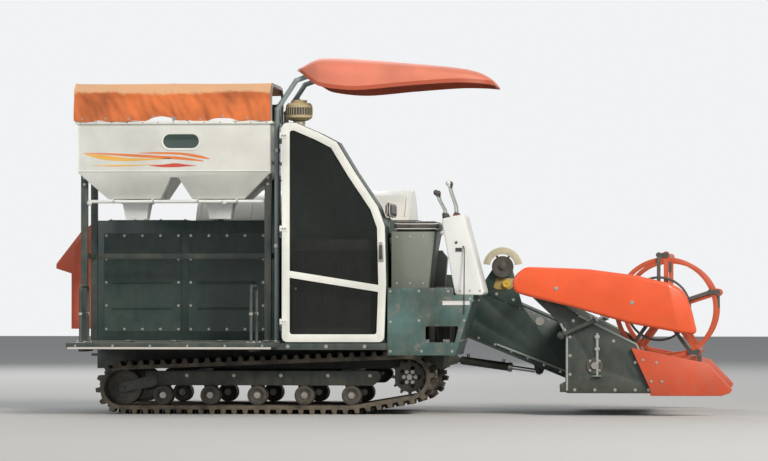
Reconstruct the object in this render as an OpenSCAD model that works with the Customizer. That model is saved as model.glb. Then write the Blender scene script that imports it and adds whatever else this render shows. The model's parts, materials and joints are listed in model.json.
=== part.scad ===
// Tracked rice combine harvester with a bagging tank, at its real size in millimetres.
// X runs forward, Y to the machine's left and Z up. Z = 0 is the ground under the tracks.
// An outline written in the side plane lists [x, z] points.

/* [Tracks] */
// Distance between the centre lines of the two tracks
track_gauge = 1100; // [1040:10:1240]
// Width of one rubber track
track_w = 400; // [320:10:480]
// Thickness of the rubber belt
belt_t = 30; // [24:1:36]
// Height of a ground lug
lug_h = 35; // [25:1:45]
// Number of lugs round one track
lug_n = 64; // [48:2:80]
// Radius of the belt's inner face round the drive sprocket
sprocket_r = 140; // [120:1:150]
// Height of the drive sprocket above the level of the ground run
sprocket_lift = 75; // [40:1:90]
// Radius of the belt's inner face round the rear idler
idler_r = 135; // [110:1:150]
// Radius of a bottom roller
roller_r = 75; // [60:1:85]
// Number of bottom rollers on one side
roller_n = 5; // [4:1:6]
// Distance between two bottom rollers
roller_pitch = 360; // [300:10:380]

/* [Frame] */
// Height of the top of the chassis frame
frame_top = 540; // [520:10:600]
// Height of the cross beams and sills on the rails
beam_h = 50; // [40:5:60]
// Width of a main rail
rail_w = 80; // [60:5:80]
// Height of a main rail
rail_h = 150; // [120:5:150]
// Wall of the rails
rail_wall = 6; // [4:1:10]
// Width of the gearbox between the rails
gearbox_w = 500; // [460:10:500]
// Thickness of the deck plate
deck_t = 6; // [4:1:8]

/* [Tank and platform] */
// Length of the grain tank
tank_l = 1458; // [1220:2:1520]
// Width of the grain tank
tank_w = 760; // [640:10:800]
// Height of the tank's rim above the ground
tank_top = 2214; // [2100:2:2400]
// Thickness of the tank's sheet
tank_wall = 5; // [4:1:8]
// Gap between the engine bay and the tank
tank_gap = 90; // [70:2:120]
// Height of the tarp above the tank's rim
tarp_rise = 288; // [200:2:320]
// Width of the folding bagging platform
platform_w = 428; // [360:2:440]
// Height of the platform's guard rails
guard_h = 432; // [360:2:460]

/* [Engine bay and station] */
// Length of the engine bay along the machine
bay_l = 792; // [760:2:860]
// Depth of the tall radiator box behind the screen door
radiator_box_w = 360; // [300:10:400]
// Width of the visible frame of the screen door
door_band = 58; // [45:1:70]
// Thickness of the screen door
door_t = 25; // [20:1:30]
// Height of the operator's floor
floor_z = 956; // [930:2:980]
// Width of the front column
column_w = 520; // [420:10:540]
// Width of the canopy
canopy_w = 960; // [860:10:1040]

/* [Thresher] */
// Width of the thresher
thresher_w = 980; // [900:10:1000]
// Length of the thresher
thresher_l = 2500; // [2420:10:2560]
// Height of the thresher's top edge above the ground
thresher_top = 1480; // [1440:10:1520]
// Radius of the threshing chamber
chamber_r = 300; // [280:5:320]
// Largest radius of the threshing drum
drum_r = 262; // [230:2:264]
// Height of the drum cover's arch
cover_rise = 240; // [180:5:250]
// Number of bars on the threshing drum
drum_bar_n = 6; // [4:1:8]

/* [Header] */
// Inner width between the header's side plates
cut_w = 2020; // [1800:10:2020]
// Thickness of a side plate
side_t = 8; // [6:1:10]
// Width of the feeder house
feeder_w = 550; // [460:10:560]
// Radius of the auger's flights
auger_r = 170; // [140:2:172]
// Radius of the auger's tube
auger_tube_r = 95; // [70:1:110]
// Pitch of the auger's flights
auger_pitch = 300; // [240:5:340]
// Number of guards on the cutter bar
guard_n = 26; // [20:1:28]

/* [Reel] */
// Radius of the circle that the reel's bats ride on
reel_r = 400; // [340:2:402]
// Number of tines on one bat
tine_n = 14; // [10:1:18]
// Length of a tine below its bat
tine_l = 120; // [90:2:125]
// Radius of a bat tube
bat_r = 14; // [12:1:18]
// Offset of the feathering ring from the reel's centre
crank_l = 55; // [40:1:60]
// Thickness of a reel arm
arm_t = 40; // [30:1:44]

/* [Hidden] */
// Running gap round a shaft or pin, and the gap between seated pieces
run_gap = 0.4;
seat_gap = 0.3;

// Places along the machine
track_mid_y = 160;
body_right_y = -800;
pivot = [420, 860];
bay_front_x = 36;
bay_rear_x = bay_front_x - bay_l;
tank_front_x = bay_rear_x - tank_gap;
tank_rear_x = tank_front_x - tank_l;
sprocket_x = 180;
roller_front_x = -260;
idler_x = -2000;

// Track levels, and the wheels in the order in which the belt passes them
belt_z = belt_t + lug_h;
sprocket_z = belt_z + sprocket_r + sprocket_lift;
idler_z = belt_z + idler_r;
roller_z = belt_z + roller_r;
belt_wheels = [
    [sprocket_x, sprocket_z, sprocket_r],
    [idler_x, idler_z, idler_r],
    [roller_front_x, roller_z, roller_r]
];
track_y = [track_mid_y - track_gauge / 2, track_mid_y + track_gauge / 2];
roller_gap = 0.8;
frame_beam = [-1840, -40, 215, 325];
frame_beam_w = 100;
axle_r = 15;
idler_fork_y = 92;

// Chassis levels and rows
rail_top = frame_top - beam_h;
rail_low = rail_top - rail_h;
rail_rear_x = -2250;
rail_front_x = 420;
rail_y = [track_mid_y - (gearbox_w + rail_w) / 2, track_mid_y + (gearbox_w + rail_w) / 2];
track_tube_s = 90;
track_tube_x = [-1500, -300];
cross_beam_x = [-2220, -1500, -780, -60, 360];
cross_beam_w = 60;
sill_w = 50;
station_front_x = 540;
deck_top = frame_top + deck_t;

// Thresher box
thresher_y0 = body_right_y + 20 + tank_w + 120;
thresher_y1 = thresher_y0 + thresher_w;
thresher_mid_y = (thresher_y0 + thresher_y1) / 2;
feeder_end_r = 200;
thresher_front_x = pivot[0] - feeder_end_r - 20;
thresher_rear_x = thresher_front_x - thresher_l;
drum_z = thresher_top - 290;
chamber_x = [-1500, thresher_front_x - 100];
cover_hinge = [thresher_y0 + 30, thresher_top + 10];
cover_hinge_r = 9;

// Grain tank
tank_y0 = body_right_y + 20;
tank_y1 = tank_y0 + tank_w;
tank_mid_y = (tank_y0 + tank_y1) / 2;
tank_mid_x = (tank_front_x + tank_rear_x) / 2;
tank_corner_z = 1824;
tank_crease_z = 1836;
funnel_z = 1630;
funnel_l = 400;
funnel_w = 480;
funnel_x = [tank_mid_x - tank_l * 0.22, tank_mid_x + tank_l * 0.22];
ridge_z = 1790;
ridge_l = 60;
spout_s = 200;
shutter_h = 36;
spout_end_z = funnel_z - 150;
spout_y = tank_mid_y - 60;
hook_r = 6;
bag_rail_r = 13;
bag_rail_z = funnel_z - bag_rail_r - 7;
bag_rail_y = spout_y - 180;
post_s = 50;

// Folding platform
platform_hinge_y = body_right_y - 6;
platform_hinge_z = frame_top + 15;
hinge_r = 9;
guard_r = 11;
platform_y = [platform_hinge_y - 6 - platform_w, platform_hinge_y - 6];
platform_x = [tank_rear_x - 18, tank_front_x + 72];
platform_tube = 30;
guard_x = [platform_x[0] + 108, platform_x[1] - 162];

// Engine bay outline at the screen door, as [x, z] corners from the rear foot
bay_outline = [
    [bay_rear_x, 546], [bay_rear_x, 2200], [-648, 2200], [-468, 2122], [-338, 2054],
    [-202, 1829], [-29, 1571], [bay_front_x - 10, 1417], [bay_front_x, 985], [bay_front_x - 16, 546]
];
door_gap = 3;
hood_top = 1300;
hood_y1 = thresher_y0 - 40;
cleaner_x = -642;
cleaner_r = 100;
cleaner_pipe_r = 44;
cleaner_z = [2216, 2374];

// Operator station
station_y = [body_right_y + 4, hood_y1];
column_y = [station_y[0] + 40, station_y[0] + 40 + column_w];
seat_y = [body_right_y + 160, hood_y1 - 160];
seat_x = [60, 390];
seat_top = floor_z + 424;
canopy_y = [-870, -870 + canopy_w];
canopy_mid_y = (canopy_y[0] + canopy_y[1]) / 2;
canopy_post_x = (bay_rear_x + tank_front_x) / 2;
canopy_post_r = 19;

// Header, in its lowered place
header_y = [-850, -850 + cut_w];
side_y = [header_y[0] - side_t, header_y[1] + side_t];
feeder_y = [thresher_y0 + 150, thresher_y0 + 150 + feeder_w];
auger_x = 1600;
auger_z = 376;
trough_r = auger_r + 20;
trough_t = 8;
back_x = auger_x - trough_r - 6;
floor_low_z = auger_z - trough_r;
sheet_t = 6;
knife_x = 2040;
mouth_z = [255, 630];
feeder_wall = 5;

// Reel, with its arms in their lowest place
arm_pivot = [1120, 985];
reel_c = [2130, 800];
arm_gap = 22;
arm_y = [
    [side_y[0] - arm_gap - arm_t, side_y[0] - arm_gap],
    [side_y[1] + arm_gap, side_y[1] + arm_gap + arm_t]
];
spider_t = 8;
spider_y = [header_y[0] + 38, header_y[1] - 38 - spider_t];
crank_t = 6;
ring_t = 8;
crank_y = spider_y[0] - 2 - crank_t;
ring_y = crank_y - 2 - ring_t;
ring_c = [reel_c[0] - crank_l, reel_c[1]];
bat_n = 5;
eccentric_r = 94;
reel_shaft_r = 22;

// Cylinders: base pin, rod pin and the length of the barrel
lift_y = rail_y[1];
lift_pins = [[480, 400], [1120, 310]];
lift_barrel_l = 430;
reel_lift_pins = [[1350, 600], [1750, 782]];
reel_barrel_l = 300;

// Extrudes a side outline from y0 to y1
module across(y0, y1) translate([0, y1, 0]) rotate([90, 0, 0]) linear_extrude(y1 - y0) children();

// Extrudes a [y, z] outline from x0 to x1
module along(x0, x1) translate([x0, 0, 0]) rotate([90, 0, 90]) linear_extrude(x1 - x0) children();

// A block given by its two extents on each axis
module block(x, y, z) translate([x[0], y[0], z[0]]) cube([x[1] - x[0], y[1] - y[0], z[1] - z[0]]);

// A cylinder along Y at a side-plane point
module y_rod(p, y0, y1, r) translate([p[0], y1, p[1]]) rotate([90, 0, 0]) cylinder(h = y1 - y0, r = r);

// A round bar between two points
module bar(p, q, r) {
    v = q - p;
    translate(p) rotate([0, acos(v[2] / norm(v)), atan2(v[1], v[0])]) cylinder(h = norm(v), r = r);
}

// A tube through a list of points, with an elbow ball at each bend
module elbow_tube(points, r) {
    for (i = [0 : len(points) - 2]) bar(points[i], points[i + 1], r);
    for (i = [1 : 1 : len(points) - 2]) translate(points[i]) sphere(r = r + 2);
}

// A tube bent in its own plane through a list of points, with an arc at each corner
module bent_tube(points, r, bend_r) {
    n = len(points);
    step = [for (i = [0 : n - 2]) points[i + 1] - points[i]];
    heading = [for (v = step) atan2(v[1], v[0])];
    turn = [for (i = [0 : n - 2]) i == 0 ? 0 : (heading[i] - heading[i - 1] + 540) % 360 - 180];
    setback = [for (i = [0 : n - 1]) i == 0 || i == n - 1 ? 0 : bend_r * tan(abs(turn[i]) / 2)];
    for (i = [0 : n - 2]) translate(points[i]) rotate([0, 90, heading[i]]) translate([0, 0, setback[i]])
        cylinder(h = norm(step[i]) - setback[i] - setback[i + 1], r = r);
    for (i = [1 : 1 : n - 2]) translate(points[i]) rotate(heading[i - 1]) translate([-setback[i], sign(turn[i]) * bend_r])
        rotate(turn[i] > 0 ? -90 : 90 + turn[i]) rotate_extrude(angle = abs(turn[i])) translate([bend_r, 0]) circle(r = r);
}

// A straight link outline between two side-plane points with round ends
module link(p, q, r0, r1) hull() {
    translate(p) circle(r = r0, $fn = 32);
    translate(q) circle(r = r1, $fn = 32);
}

// Rounds the outward corners of an outline
module rounded(r) offset(r = r, $fn = 24) offset(delta = -r) children();

// Belt geometry: the outward normal of the run from wheel i to the next one
function next_wheel(i) = belt_wheels[(i + 1) % len(belt_wheels)];
function run_vector(i) = [next_wheel(i)[0] - belt_wheels[i][0], next_wheel(i)[1] - belt_wheels[i][1]];
function run_normal(i) =
    let (v = run_vector(i))
    atan2(v[1], v[0]) - acos((belt_wheels[i][2] - next_wheel(i)[2]) / norm(v));
function arc_start(i) = run_normal((i + len(belt_wheels) - 1) % len(belt_wheels));
function arc_sweep(i) = (run_normal(i) - arc_start(i) + 720) % 360;
function arc_length(i) = (belt_wheels[i][2] + belt_t) * arc_sweep(i) * PI / 180;
function run_length(i) = sqrt(pow(norm(run_vector(i)), 2) - pow(belt_wheels[i][2] - next_wheel(i)[2], 2));
function leg_length(i) = arc_length(i) + run_length(i);
function loop_length() = leg_length(0) + leg_length(1) + leg_length(2);
function on_wheel(i, a, e) =
    [belt_wheels[i][0] + (belt_wheels[i][2] + e) * cos(a), belt_wheels[i][1] + (belt_wheels[i][2] + e) * sin(a)];

// The point at distance s along the belt, e outside the belt's inner face
function belt_point(s, e, i = 0) =
    s > leg_length(i) && i < len(belt_wheels) - 1 ? belt_point(s - leg_length(i), e, i + 1)
    : s < arc_length(i) ? on_wheel(i, arc_start(i) + arc_sweep(i) * s / arc_length(i), e)
    : let (a = run_normal(i)) on_wheel(i, a, e) + (s - arc_length(i)) * [-sin(a), cos(a)];

arc_steps = 24;
function belt_inner() = [
    for (i = [0 : len(belt_wheels) - 1], k = [0 : arc_steps])
        on_wheel(i, arc_start(i) + arc_sweep(i) * k / arc_steps, 0)
];
function belt_outer(phase) =
    let (pitch = loop_length() / lug_n, foot = 22, tip = 13)
    [
        for (k = [0 : lug_n - 1], c = [[-foot, 0], [-tip, lug_h], [tip, lug_h], [foot, 0]])
            belt_point((((k + phase) * pitch + c[0]) % loop_length() + loop_length()) % loop_length(), belt_t + c[1])
    ];

// The belt's side outline with its lugs, as one loop with a hole
module belt_outline(phase) {
    outer = belt_outer(phase);
    inner = belt_inner();
    polygon(
        concat(outer, inner),
        paths = [[for (i = [0 : len(outer) - 1]) i], [for (i = [0 : len(inner) - 1]) len(outer) + i]]
    );
}

module track(y) color("#22211f") {
    across(y - track_w / 2, y) belt_outline(0);
    across(y, y + track_w / 2) belt_outline(0.5);
}

// One toothed drive wheel between its flange and the belt's centre line
module sprocket_outline() {
    teeth = 12;
    root_r = sprocket_r - 26;
    difference() {
        union() {
            circle(r = root_r);
            for (k = [0 : teeth - 1]) rotate(k * 360 / teeth)
                polygon([[root_r - 8, -16], [sprocket_r - 1.5, -7], [sprocket_r - 1.5, 7], [root_r - 8, 16]]);
        }
        for (k = [0 : 4]) rotate(k * 72) translate([root_r * 0.62, 0]) circle(r = 17);
    }
}

hub_start = 90;
module drive_sprockets() color("#3a3b3c") for (side = [0, 1]) {
    y = track_y[side];
    inward = side == 0 ? 1 : -1;
    hub = [y + inward * hub_start, y + inward * 20];
    across(y - 20, y + 20) translate([sprocket_x, sprocket_z]) sprocket_outline();
    y_rod([sprocket_x, sprocket_z], min(hub), max(hub), 62);
}

// A double wheel on its axle, spaced from the middle of the track
module spool(p, y, r, inner, outer) {
    difference() {
        union() {
            y_rod(p, y - outer, y - inner, r);
            y_rod(p, y + inner, y + outer, r);
        }
        for (s = [-1, 1]) y_rod(p, y + s * outer - 8, y + s * outer + 8, r * 0.62);
    }
    y_rod(p, y - outer + 8, y + outer - 8, axle_r);
}

module track_rollers() color("#55564f") for (y = track_y) {
    for (k = [0 : roller_n - 1])
        spool([roller_front_x - k * roller_pitch, roller_z], y, roller_r - roller_gap, 24, 74);
    spool([idler_x, idler_z], y, idler_r - roller_gap, 40, 80);
    y_rod([idler_x, idler_z], y - idler_fork_y - 16, y + idler_fork_y + 16, axle_r);
}

module track_frames() color("#2f3331") for (y = track_y) {
    difference() {
        union() {
            across(y - frame_beam_w / 2, y + frame_beam_w / 2) rounded(30) polygon([
                [frame_beam[0], frame_beam[2]], [frame_beam[1] - 60, frame_beam[2]],
                [frame_beam[1], frame_beam[2] + 50], [frame_beam[1], frame_beam[3]], [frame_beam[0], frame_beam[3]]
            ]);
            for (k = [0 : roller_n - 1]) let (x = roller_front_x - k * roller_pitch)
                across(y - 12, y + 12) polygon([
                    [x - 60, frame_beam[2] + 20], [x - 26, roller_z - 26], [x + 26, roller_z - 26],
                    [x + 60, frame_beam[2] + 20]
                ]);
            for (s = [-1, 1]) across(y + s * idler_fork_y - 6, y + s * idler_fork_y + 6)
                link([idler_x, idler_z], [frame_beam[0] + 60, 250], 38, 42);
            block([frame_beam[0] + 25, frame_beam[0] + 95], [y - idler_fork_y, y + idler_fork_y], [230, 300]);
        }
        for (k = [0 : roller_n - 1])
            y_rod([roller_front_x - k * roller_pitch, roller_z], y - 20, y + 20, axle_r + run_gap);
        y_rod([idler_x, idler_z], y - idler_fork_y - 20, y + idler_fork_y + 20, axle_r + run_gap);
    }
}

module gearbox() color("#34383a") {
    y = [rail_y[0] + rail_w / 2, rail_y[1] - rail_w / 2];
    across(y[0], y[1]) rounded(40) polygon([[40, 200], [330, 180], [330, 380], [250, 470], [40, 470]]);
    for (side = [0, 1]) {
        inward = side == 0 ? 1 : -1;
        tip = track_y[side] + inward * (hub_start + run_gap);
        wall = y[side];
        y_rod([sprocket_x, sprocket_z], min(tip, wall), max(tip, wall), 55);
    }
}

module rail(y) difference() {
    block([rail_rear_x, rail_front_x], [y - rail_w / 2, y + rail_w / 2], [rail_low, rail_top]);
    block(
        [rail_rear_x - 1, rail_front_x - 40],
        [y - rail_w / 2 + rail_wall, y + rail_w / 2 - rail_wall],
        [rail_low + rail_wall, rail_top - rail_wall]
    );
}

module chassis_frame() color("#30403c") {
    left_sill = [thresher_y1 - 60, thresher_y1 - 60 + sill_w];
    right_sill = [body_right_y + 10, body_right_y + 10 + sill_w];
    difference() {
        union() {
            for (y = rail_y) rail(y);
            for (x = track_tube_x) block(
                [x - track_tube_s / 2, x + track_tube_s / 2],
                [track_y[0] + frame_beam_w / 2, track_y[1] - frame_beam_w / 2],
                [rail_low - track_tube_s, rail_low]
            );
            for (x = cross_beam_x) block(
                [x - cross_beam_w / 2, x + cross_beam_w / 2],
                [right_sill[0], x > 300 ? rail_y[1] + rail_w / 2 : left_sill[1]],
                [rail_top, frame_top]
            );
            block([rail_rear_x, station_front_x], right_sill, [rail_top, frame_top]);
            block([rail_rear_x, thresher_front_x - 20], left_sill, [rail_top, frame_top]);
            block([station_front_x - sill_w, station_front_x], [right_sill[0], rail_y[0]], [rail_top, frame_top]);
            block([rail_front_x - 60, station_front_x], [rail_y[0] - 25, rail_y[0] + 25], [rail_top, frame_top]);
            for (x = guard_x) outrigger(x);
            tow_hitch();
            for (s = [-1, 1]) across(lift_y + s * 30 - 6, lift_y + s * 30 + 6)
                polygon([[rail_front_x - 12, 350], [rail_front_x - 12, 450], [480, 432], [508, 400], [480, 368]]);
        }
        for (s = [-1, 1]) y_rod(lift_pins[0], lift_y + s * 30 - 8, lift_y + s * 30 + 8, 14);
        y_tow = track_mid_y;
        translate([rail_rear_x - 60, y_tow, rail_top - 70]) cylinder(h = 60, r = tow_pin_r);
    }
    y_rod(lift_pins[0], lift_y - 36, lift_y + 36, 14);
}

// The bracket under the folding platform that it rests on
module outrigger(x) block(
    [x - 25, x + 25], [platform_y[0] + 80, body_right_y + 20], [rail_top - 10, frame_top - platform_tube - seat_gap]
);

// The rear tow plate between the rails, with its pin hole
tow_pin_r = 13;
module tow_hitch() {
    block([rail_rear_x + 10, rail_rear_x + 60], [rail_y[0], rail_y[1]], [rail_top - 80, rail_top - 20]);
    translate([0, 0, rail_top - 60]) linear_extrude(20) hull() {
        translate([rail_rear_x - 60, track_mid_y]) circle(r = 40, $fn = 48);
        translate([rail_rear_x + 20, track_mid_y - 60]) square([10, 120]);
    }
}

module knuckles(first_x) for (k = [0 : 4]) let (x = platform_x[0] + 30 + k * (platform_x[1] - platform_x[0] - 150) / 4 + first_x)
    along(x, x + 40) children();

module deck_plate() color("#3f4745") {
    block([platform_x[0] - 8, platform_x[1] + 4], [body_right_y, thresher_y0 - 10], [frame_top, deck_top]);
    knuckles(0) {
        translate([platform_hinge_y, platform_hinge_z]) circle(r = hinge_r);
        translate([platform_hinge_y, deck_top]) square([40, 4]);
    }
    along(platform_x[0] + 25, platform_x[1] - 25) translate([platform_hinge_y, platform_hinge_z]) circle(r = 4);
}

module folding_platform() color("#4a5250") {
    difference() {
        union() {
            block(platform_x, platform_y, [frame_top, deck_top]);
            knuckles(41) {
                translate([platform_hinge_y, platform_hinge_z]) circle(r = hinge_r);
                translate([platform_hinge_y - 40, deck_top]) square([40, 4]);
            }
        }
        along(platform_x[0], platform_x[1]) translate([platform_hinge_y, platform_hinge_z]) circle(r = 4 + run_gap);
    }
    for (y = [platform_y[0], platform_y[1] - platform_tube])
        block(platform_x, [y, y + platform_tube], [frame_top - platform_tube, frame_top]);
    for (x = [platform_x[0], guard_x[0], tank_mid_x, guard_x[1], platform_x[1] - platform_tube / 2])
        block(
            [x, x + platform_tube / 2],
            [platform_y[0] + platform_tube, platform_y[1] - platform_tube],
            [frame_top - platform_tube, frame_top]
        );
    for (x = guard_x) {
        y = [platform_y[0] + 20, platform_y[1] - 48];
        top = deck_top + guard_h - guard_r;
        translate([x, 0, 0]) rotate([90, 0, 90])
            bent_tube([[y[0], deck_top - 3], [y[0], top], [y[1], top], [y[1], deck_top - 3]], guard_r, 45);
        bar([x, y[0], deck_top + guard_h / 2], [x, y[1], deck_top + guard_h / 2], 8);
    }
}

// The tank's two outlines: two funnels side by side, and sloping long sides
module tank_side(top) polygon([
    [tank_rear_x, top], [tank_rear_x, tank_corner_z],
    [funnel_x[0] - funnel_l / 2, funnel_z], [funnel_x[0] + funnel_l / 2, funnel_z],
    [tank_mid_x - ridge_l / 2, ridge_z], [tank_mid_x + ridge_l / 2, ridge_z],
    [funnel_x[1] - funnel_l / 2, funnel_z], [funnel_x[1] + funnel_l / 2, funnel_z],
    [tank_front_x, tank_corner_z], [tank_front_x, top]
]);
module tank_end(top) polygon([
    [tank_y0, top], [tank_y0, tank_crease_z], [tank_mid_y - funnel_w / 2, funnel_z],
    [tank_mid_y + funnel_w / 2, funnel_z], [tank_y1, tank_crease_z], [tank_y1, top]
]);
module tank_shape(inset, top) intersection() {
    across(tank_y0 - 1, tank_y1 + 1) offset(delta = -inset) tank_side(top);
    along(tank_rear_x - 1, tank_front_x + 1) offset(delta = -inset) tank_end(top);
}

module grain_tank() color("#e9e4d2") difference() {
    union() {
        tank_shape(0, tank_top);
        difference() {
            block([tank_rear_x - 18, tank_front_x + 18], [tank_y0 - 18, tank_y1 + 18], [tank_top - 22, tank_top]);
            block([tank_rear_x, tank_front_x], [tank_y0, tank_y1], [tank_top - 23, tank_top + 1]);
        }
        for (x = [tank_rear_x + tank_l / 3, tank_rear_x + tank_l * 2 / 3])
            block([x - 15, x + 15], [tank_y1 - 1, tank_y1 + 12], [tank_crease_z + 10, tank_top - 22]);
    }
    tank_shape(tank_wall, tank_top + 2 * tank_wall);
    for (x = funnel_x) block(
        [x - spout_s / 2 + 8, x + spout_s / 2 - 8], [spout_y - spout_s / 2 + 8, spout_y + spout_s / 2 - 8],
        [funnel_z - 1, funnel_z + 40]
    );
}

stand_y = [bag_rail_y, tank_mid_y + (tank_mid_y - bag_rail_y)];
stand_x = [tank_rear_x + 4, tank_front_x - 4 - post_s];
module tank_stand() color("#30403c") difference() {
    union() {
        for (x = stand_x, y = stand_y)
            block([x, x + post_s], [y - post_s / 2, y + post_s / 2], [deck_top, tank_crease_z]);
        for (x = stand_x) block(
            [x + 10, x + post_s - 10], [stand_y[0] + post_s / 2, stand_y[1] - post_s / 2], [1180, 1220]
        );
        block([stand_x[0] + post_s, stand_x[1]], [stand_y[1] - 15, stand_y[1] + 15], [1180, 1220]);
    }
    tank_shape(-0.05, tank_top);
}

module bag_spouts() color("#e4e0d0") {
    for (x = funnel_x) translate([x, spout_y, 0]) difference() {
        h = funnel_z - shutter_h - spout_end_z;
        union() {
            translate([0, 0, spout_end_z]) linear_extrude(h, scale = spout_s / (spout_s - 40))
                square(spout_s - 40, center = true);
            translate([-spout_s / 2 - 12, -spout_s / 2 - 12, funnel_z - shutter_h])
                cube([spout_s + 24, spout_s + 24, shutter_h]);
            translate([-spout_s / 2 + 20, -spout_s / 2 - 60, funnel_z - shutter_h + 12])
                cube([spout_s - 40, 60, 6]);
        }
        translate([0, 0, spout_end_z - 0.01]) linear_extrude(h + 0.02, scale = (spout_s - 6) / (spout_s - 46))
            square(spout_s - 46, center = true);
        translate([-spout_s / 2 + 3, -spout_s / 2 + 3, funnel_z - shutter_h - 1])
            cube([spout_s - 6, spout_s - 6, shutter_h + 2]);
    }
    rail_x = [stand_x[0] + post_s + seat_gap, stand_x[1] - seat_gap];
    bar([rail_x[0], bag_rail_y, bag_rail_z], [rail_x[1], bag_rail_y, bag_rail_z], bag_rail_r);
    for (x = funnel_x, s = [-1, 1]) {
        bar([x + s * 150, bag_rail_y, bag_rail_z], [x + s * 150, bag_rail_y - 90, bag_rail_z + 12], hook_r);
        bar([x + s * 100, bag_rail_y, bag_rail_z], [x + s * 100, spout_y - spout_s / 2 - 4, funnel_z - 18], hook_r);
    }
}

tarp_y = [tank_y0 - 44, tank_y1 + 24];
tarp_x = [tank_rear_x - 30, tank_front_x + 12];
tarp_t = 8;
tarp_top = tank_top + tarp_rise;
hoop_s = 18;
module hoop_outline(inset) let (top = tarp_top - tarp_t - seat_gap - inset) polygon([
    [tank_y0 - hoop_s + inset, tank_top + seat_gap], [tank_y0 - hoop_s + inset, top - 62],
    [tank_y0 + 62, top], [tank_y1 - 62, top], [tank_y1 + hoop_s - inset, top - 62],
    [tank_y1 + hoop_s - inset, tank_top + seat_gap]
]);
module tarp_hoops() color("#8c9296")
    for (x = [tank_rear_x - hoop_s, tank_mid_x - hoop_s / 2, tank_front_x])
        along(x, x + hoop_s) difference() {
            hoop_outline(0);
            hoop_outline(hoop_s);
        }

module tank_tarp() color("#d8683f") along(tarp_x[0], tarp_x[1]) polygon([
    [tarp_y[0], tank_top + 18], [tarp_y[0], tarp_top - 62], [tank_y0 + 60, tarp_top], [tank_y1 - 60, tarp_top],
    [tarp_y[1], tarp_top - 60], [tarp_y[1], tarp_top - 71], [tank_y1 - 60, tarp_top - tarp_t],
    [tank_y0 + 60, tarp_top - tarp_t], [tarp_y[0] + tarp_t, tarp_top - 66], [tarp_y[0] + tarp_t, tank_top + 18]
]);

// The engine bay: a tall radiator box behind the door, and a hood behind the seat
housing_y = [body_right_y + door_t + seat_gap, body_right_y + door_t + radiator_box_w];
hood_x = [bay_rear_x + 16, 10];
shell_t = 4;
cleaner_y = housing_y[0] + 160;
bay_rim = 10;
module engine_housing() color("#3c4644") {
    difference() {
        union() {
            across(housing_y[0], housing_y[1]) polygon(bay_outline);
            block(hood_x, [housing_y[1] - 1, hood_y1], [frame_top, hood_top]);
            block([bay_rear_x, bay_front_x - 16], [housing_y[0], hood_y1], [frame_top, deck_top]);
        }
        across(housing_y[0] - 1, housing_y[1] - shell_t) offset(delta = -bay_rim) polygon(bay_outline);
        across(housing_y[0] + 30, housing_y[1] - shell_t) offset(delta = -shell_t) polygon(bay_outline);
        block([hood_x[0] + shell_t, hood_x[1] - shell_t], [housing_y[1] + shell_t, hood_y1 - shell_t], [deck_top, hood_top - shell_t]);
        block([hood_x[0] + 40, hood_x[1] - 40], [housing_y[1] - 40, housing_y[1] + 40], [deck_top + 40, hood_top - 60]);
        for (k = [0 : 5]) block(
            [hood_x[0] + 120 + k * 90, hood_x[0] + 160 + k * 90], [hood_y1 - 150, hood_y1 - 50], [hood_top - 10, hood_top + 10]
        );
        translate([cleaner_x, cleaner_y, 2150]) cylinder(h = 60, r = cleaner_pipe_r + seat_gap);
    }
    for (z = hinge_z) translate([door_hinge[0], door_hinge[1], z]) difference() {
        union() {
            cylinder(h = 40, r = 7);
            translate([-7, 0, 0]) cube([5, 34, 40]);
            translate([-7, 29, 0]) cube([16, 5, 40]);
        }
        translate([0, 0, -1]) cylinder(h = 42, r = 3 + run_gap);
    }
}

door_hinge = [bay_rear_x - 9, body_right_y + 2];
hinge_z = [640, 1340, 2040];
engine_x = [-640, -100];
module engine() color("#4b4f50") block(engine_x, [housing_y[1] + 60, hood_y1 - 40], [deck_top, 1180]);

module radiator() color("#2b2f31") {
    block([-680, -90], [-690, -620], [deck_top + 60, 1290]);
    for (z = [deck_top + shell_t, 1230]) block([-700, -70], [-700, -610], [z, z + 90]);
}

door_corner_r = 40;
module door_outline(inset = 0, r = door_corner_r) rounded(r) offset(delta = -door_gap - inset) polygon(bay_outline);
module screen_door() color("#ded8c6") {
    difference() {
        union() {
            across(body_right_y, body_right_y + door_t) difference() {
                door_outline();
                difference() {
                    door_outline(door_band, 20);
                    polygon([[-800, 1049], [100, 905], [100, 957], [-800, 1101]]);
                }
            }
            for (z = hinge_z) translate([door_hinge[0], door_hinge[1], z + 41]) {
                cylinder(h = 40, r = 7);
                translate([0, -7, 0]) cube([50, 5, 40]);
            }
        }
        translate([door_hinge[0], door_hinge[1], 600]) cylinder(h = 1600, r = 3 + run_gap);
        across(body_right_y + 10, body_right_y + 13) door_outline(door_band - 12, 20);
    }
    for (z = hinge_z) translate([door_hinge[0], door_hinge[1], z - 4]) cylinder(h = 90, r = 3);
    translate([bay_front_x - 50, body_right_y - 14, 1180]) cube([16, 14, 90]);
}

module door_mesh() color("#20241f")
    across(body_right_y + 10.2, body_right_y + 12.8) door_outline(door_band - 11, 20);

module pre_cleaner() color("#c9b071") translate([cleaner_x, cleaner_y, 0]) {
    rotate_extrude() polygon([
        [0, 2180], [cleaner_pipe_r, 2180], [cleaner_pipe_r, cleaner_z[0]], [70, cleaner_z[0] + 6], [cleaner_r, cleaner_z[0] + 26],
        [cleaner_r, cleaner_z[1] - 40], [84, cleaner_z[1] - 22], [60, cleaner_z[1] - 22], [60, cleaner_z[1]], [0, cleaner_z[1]]
    ]);
}

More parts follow.
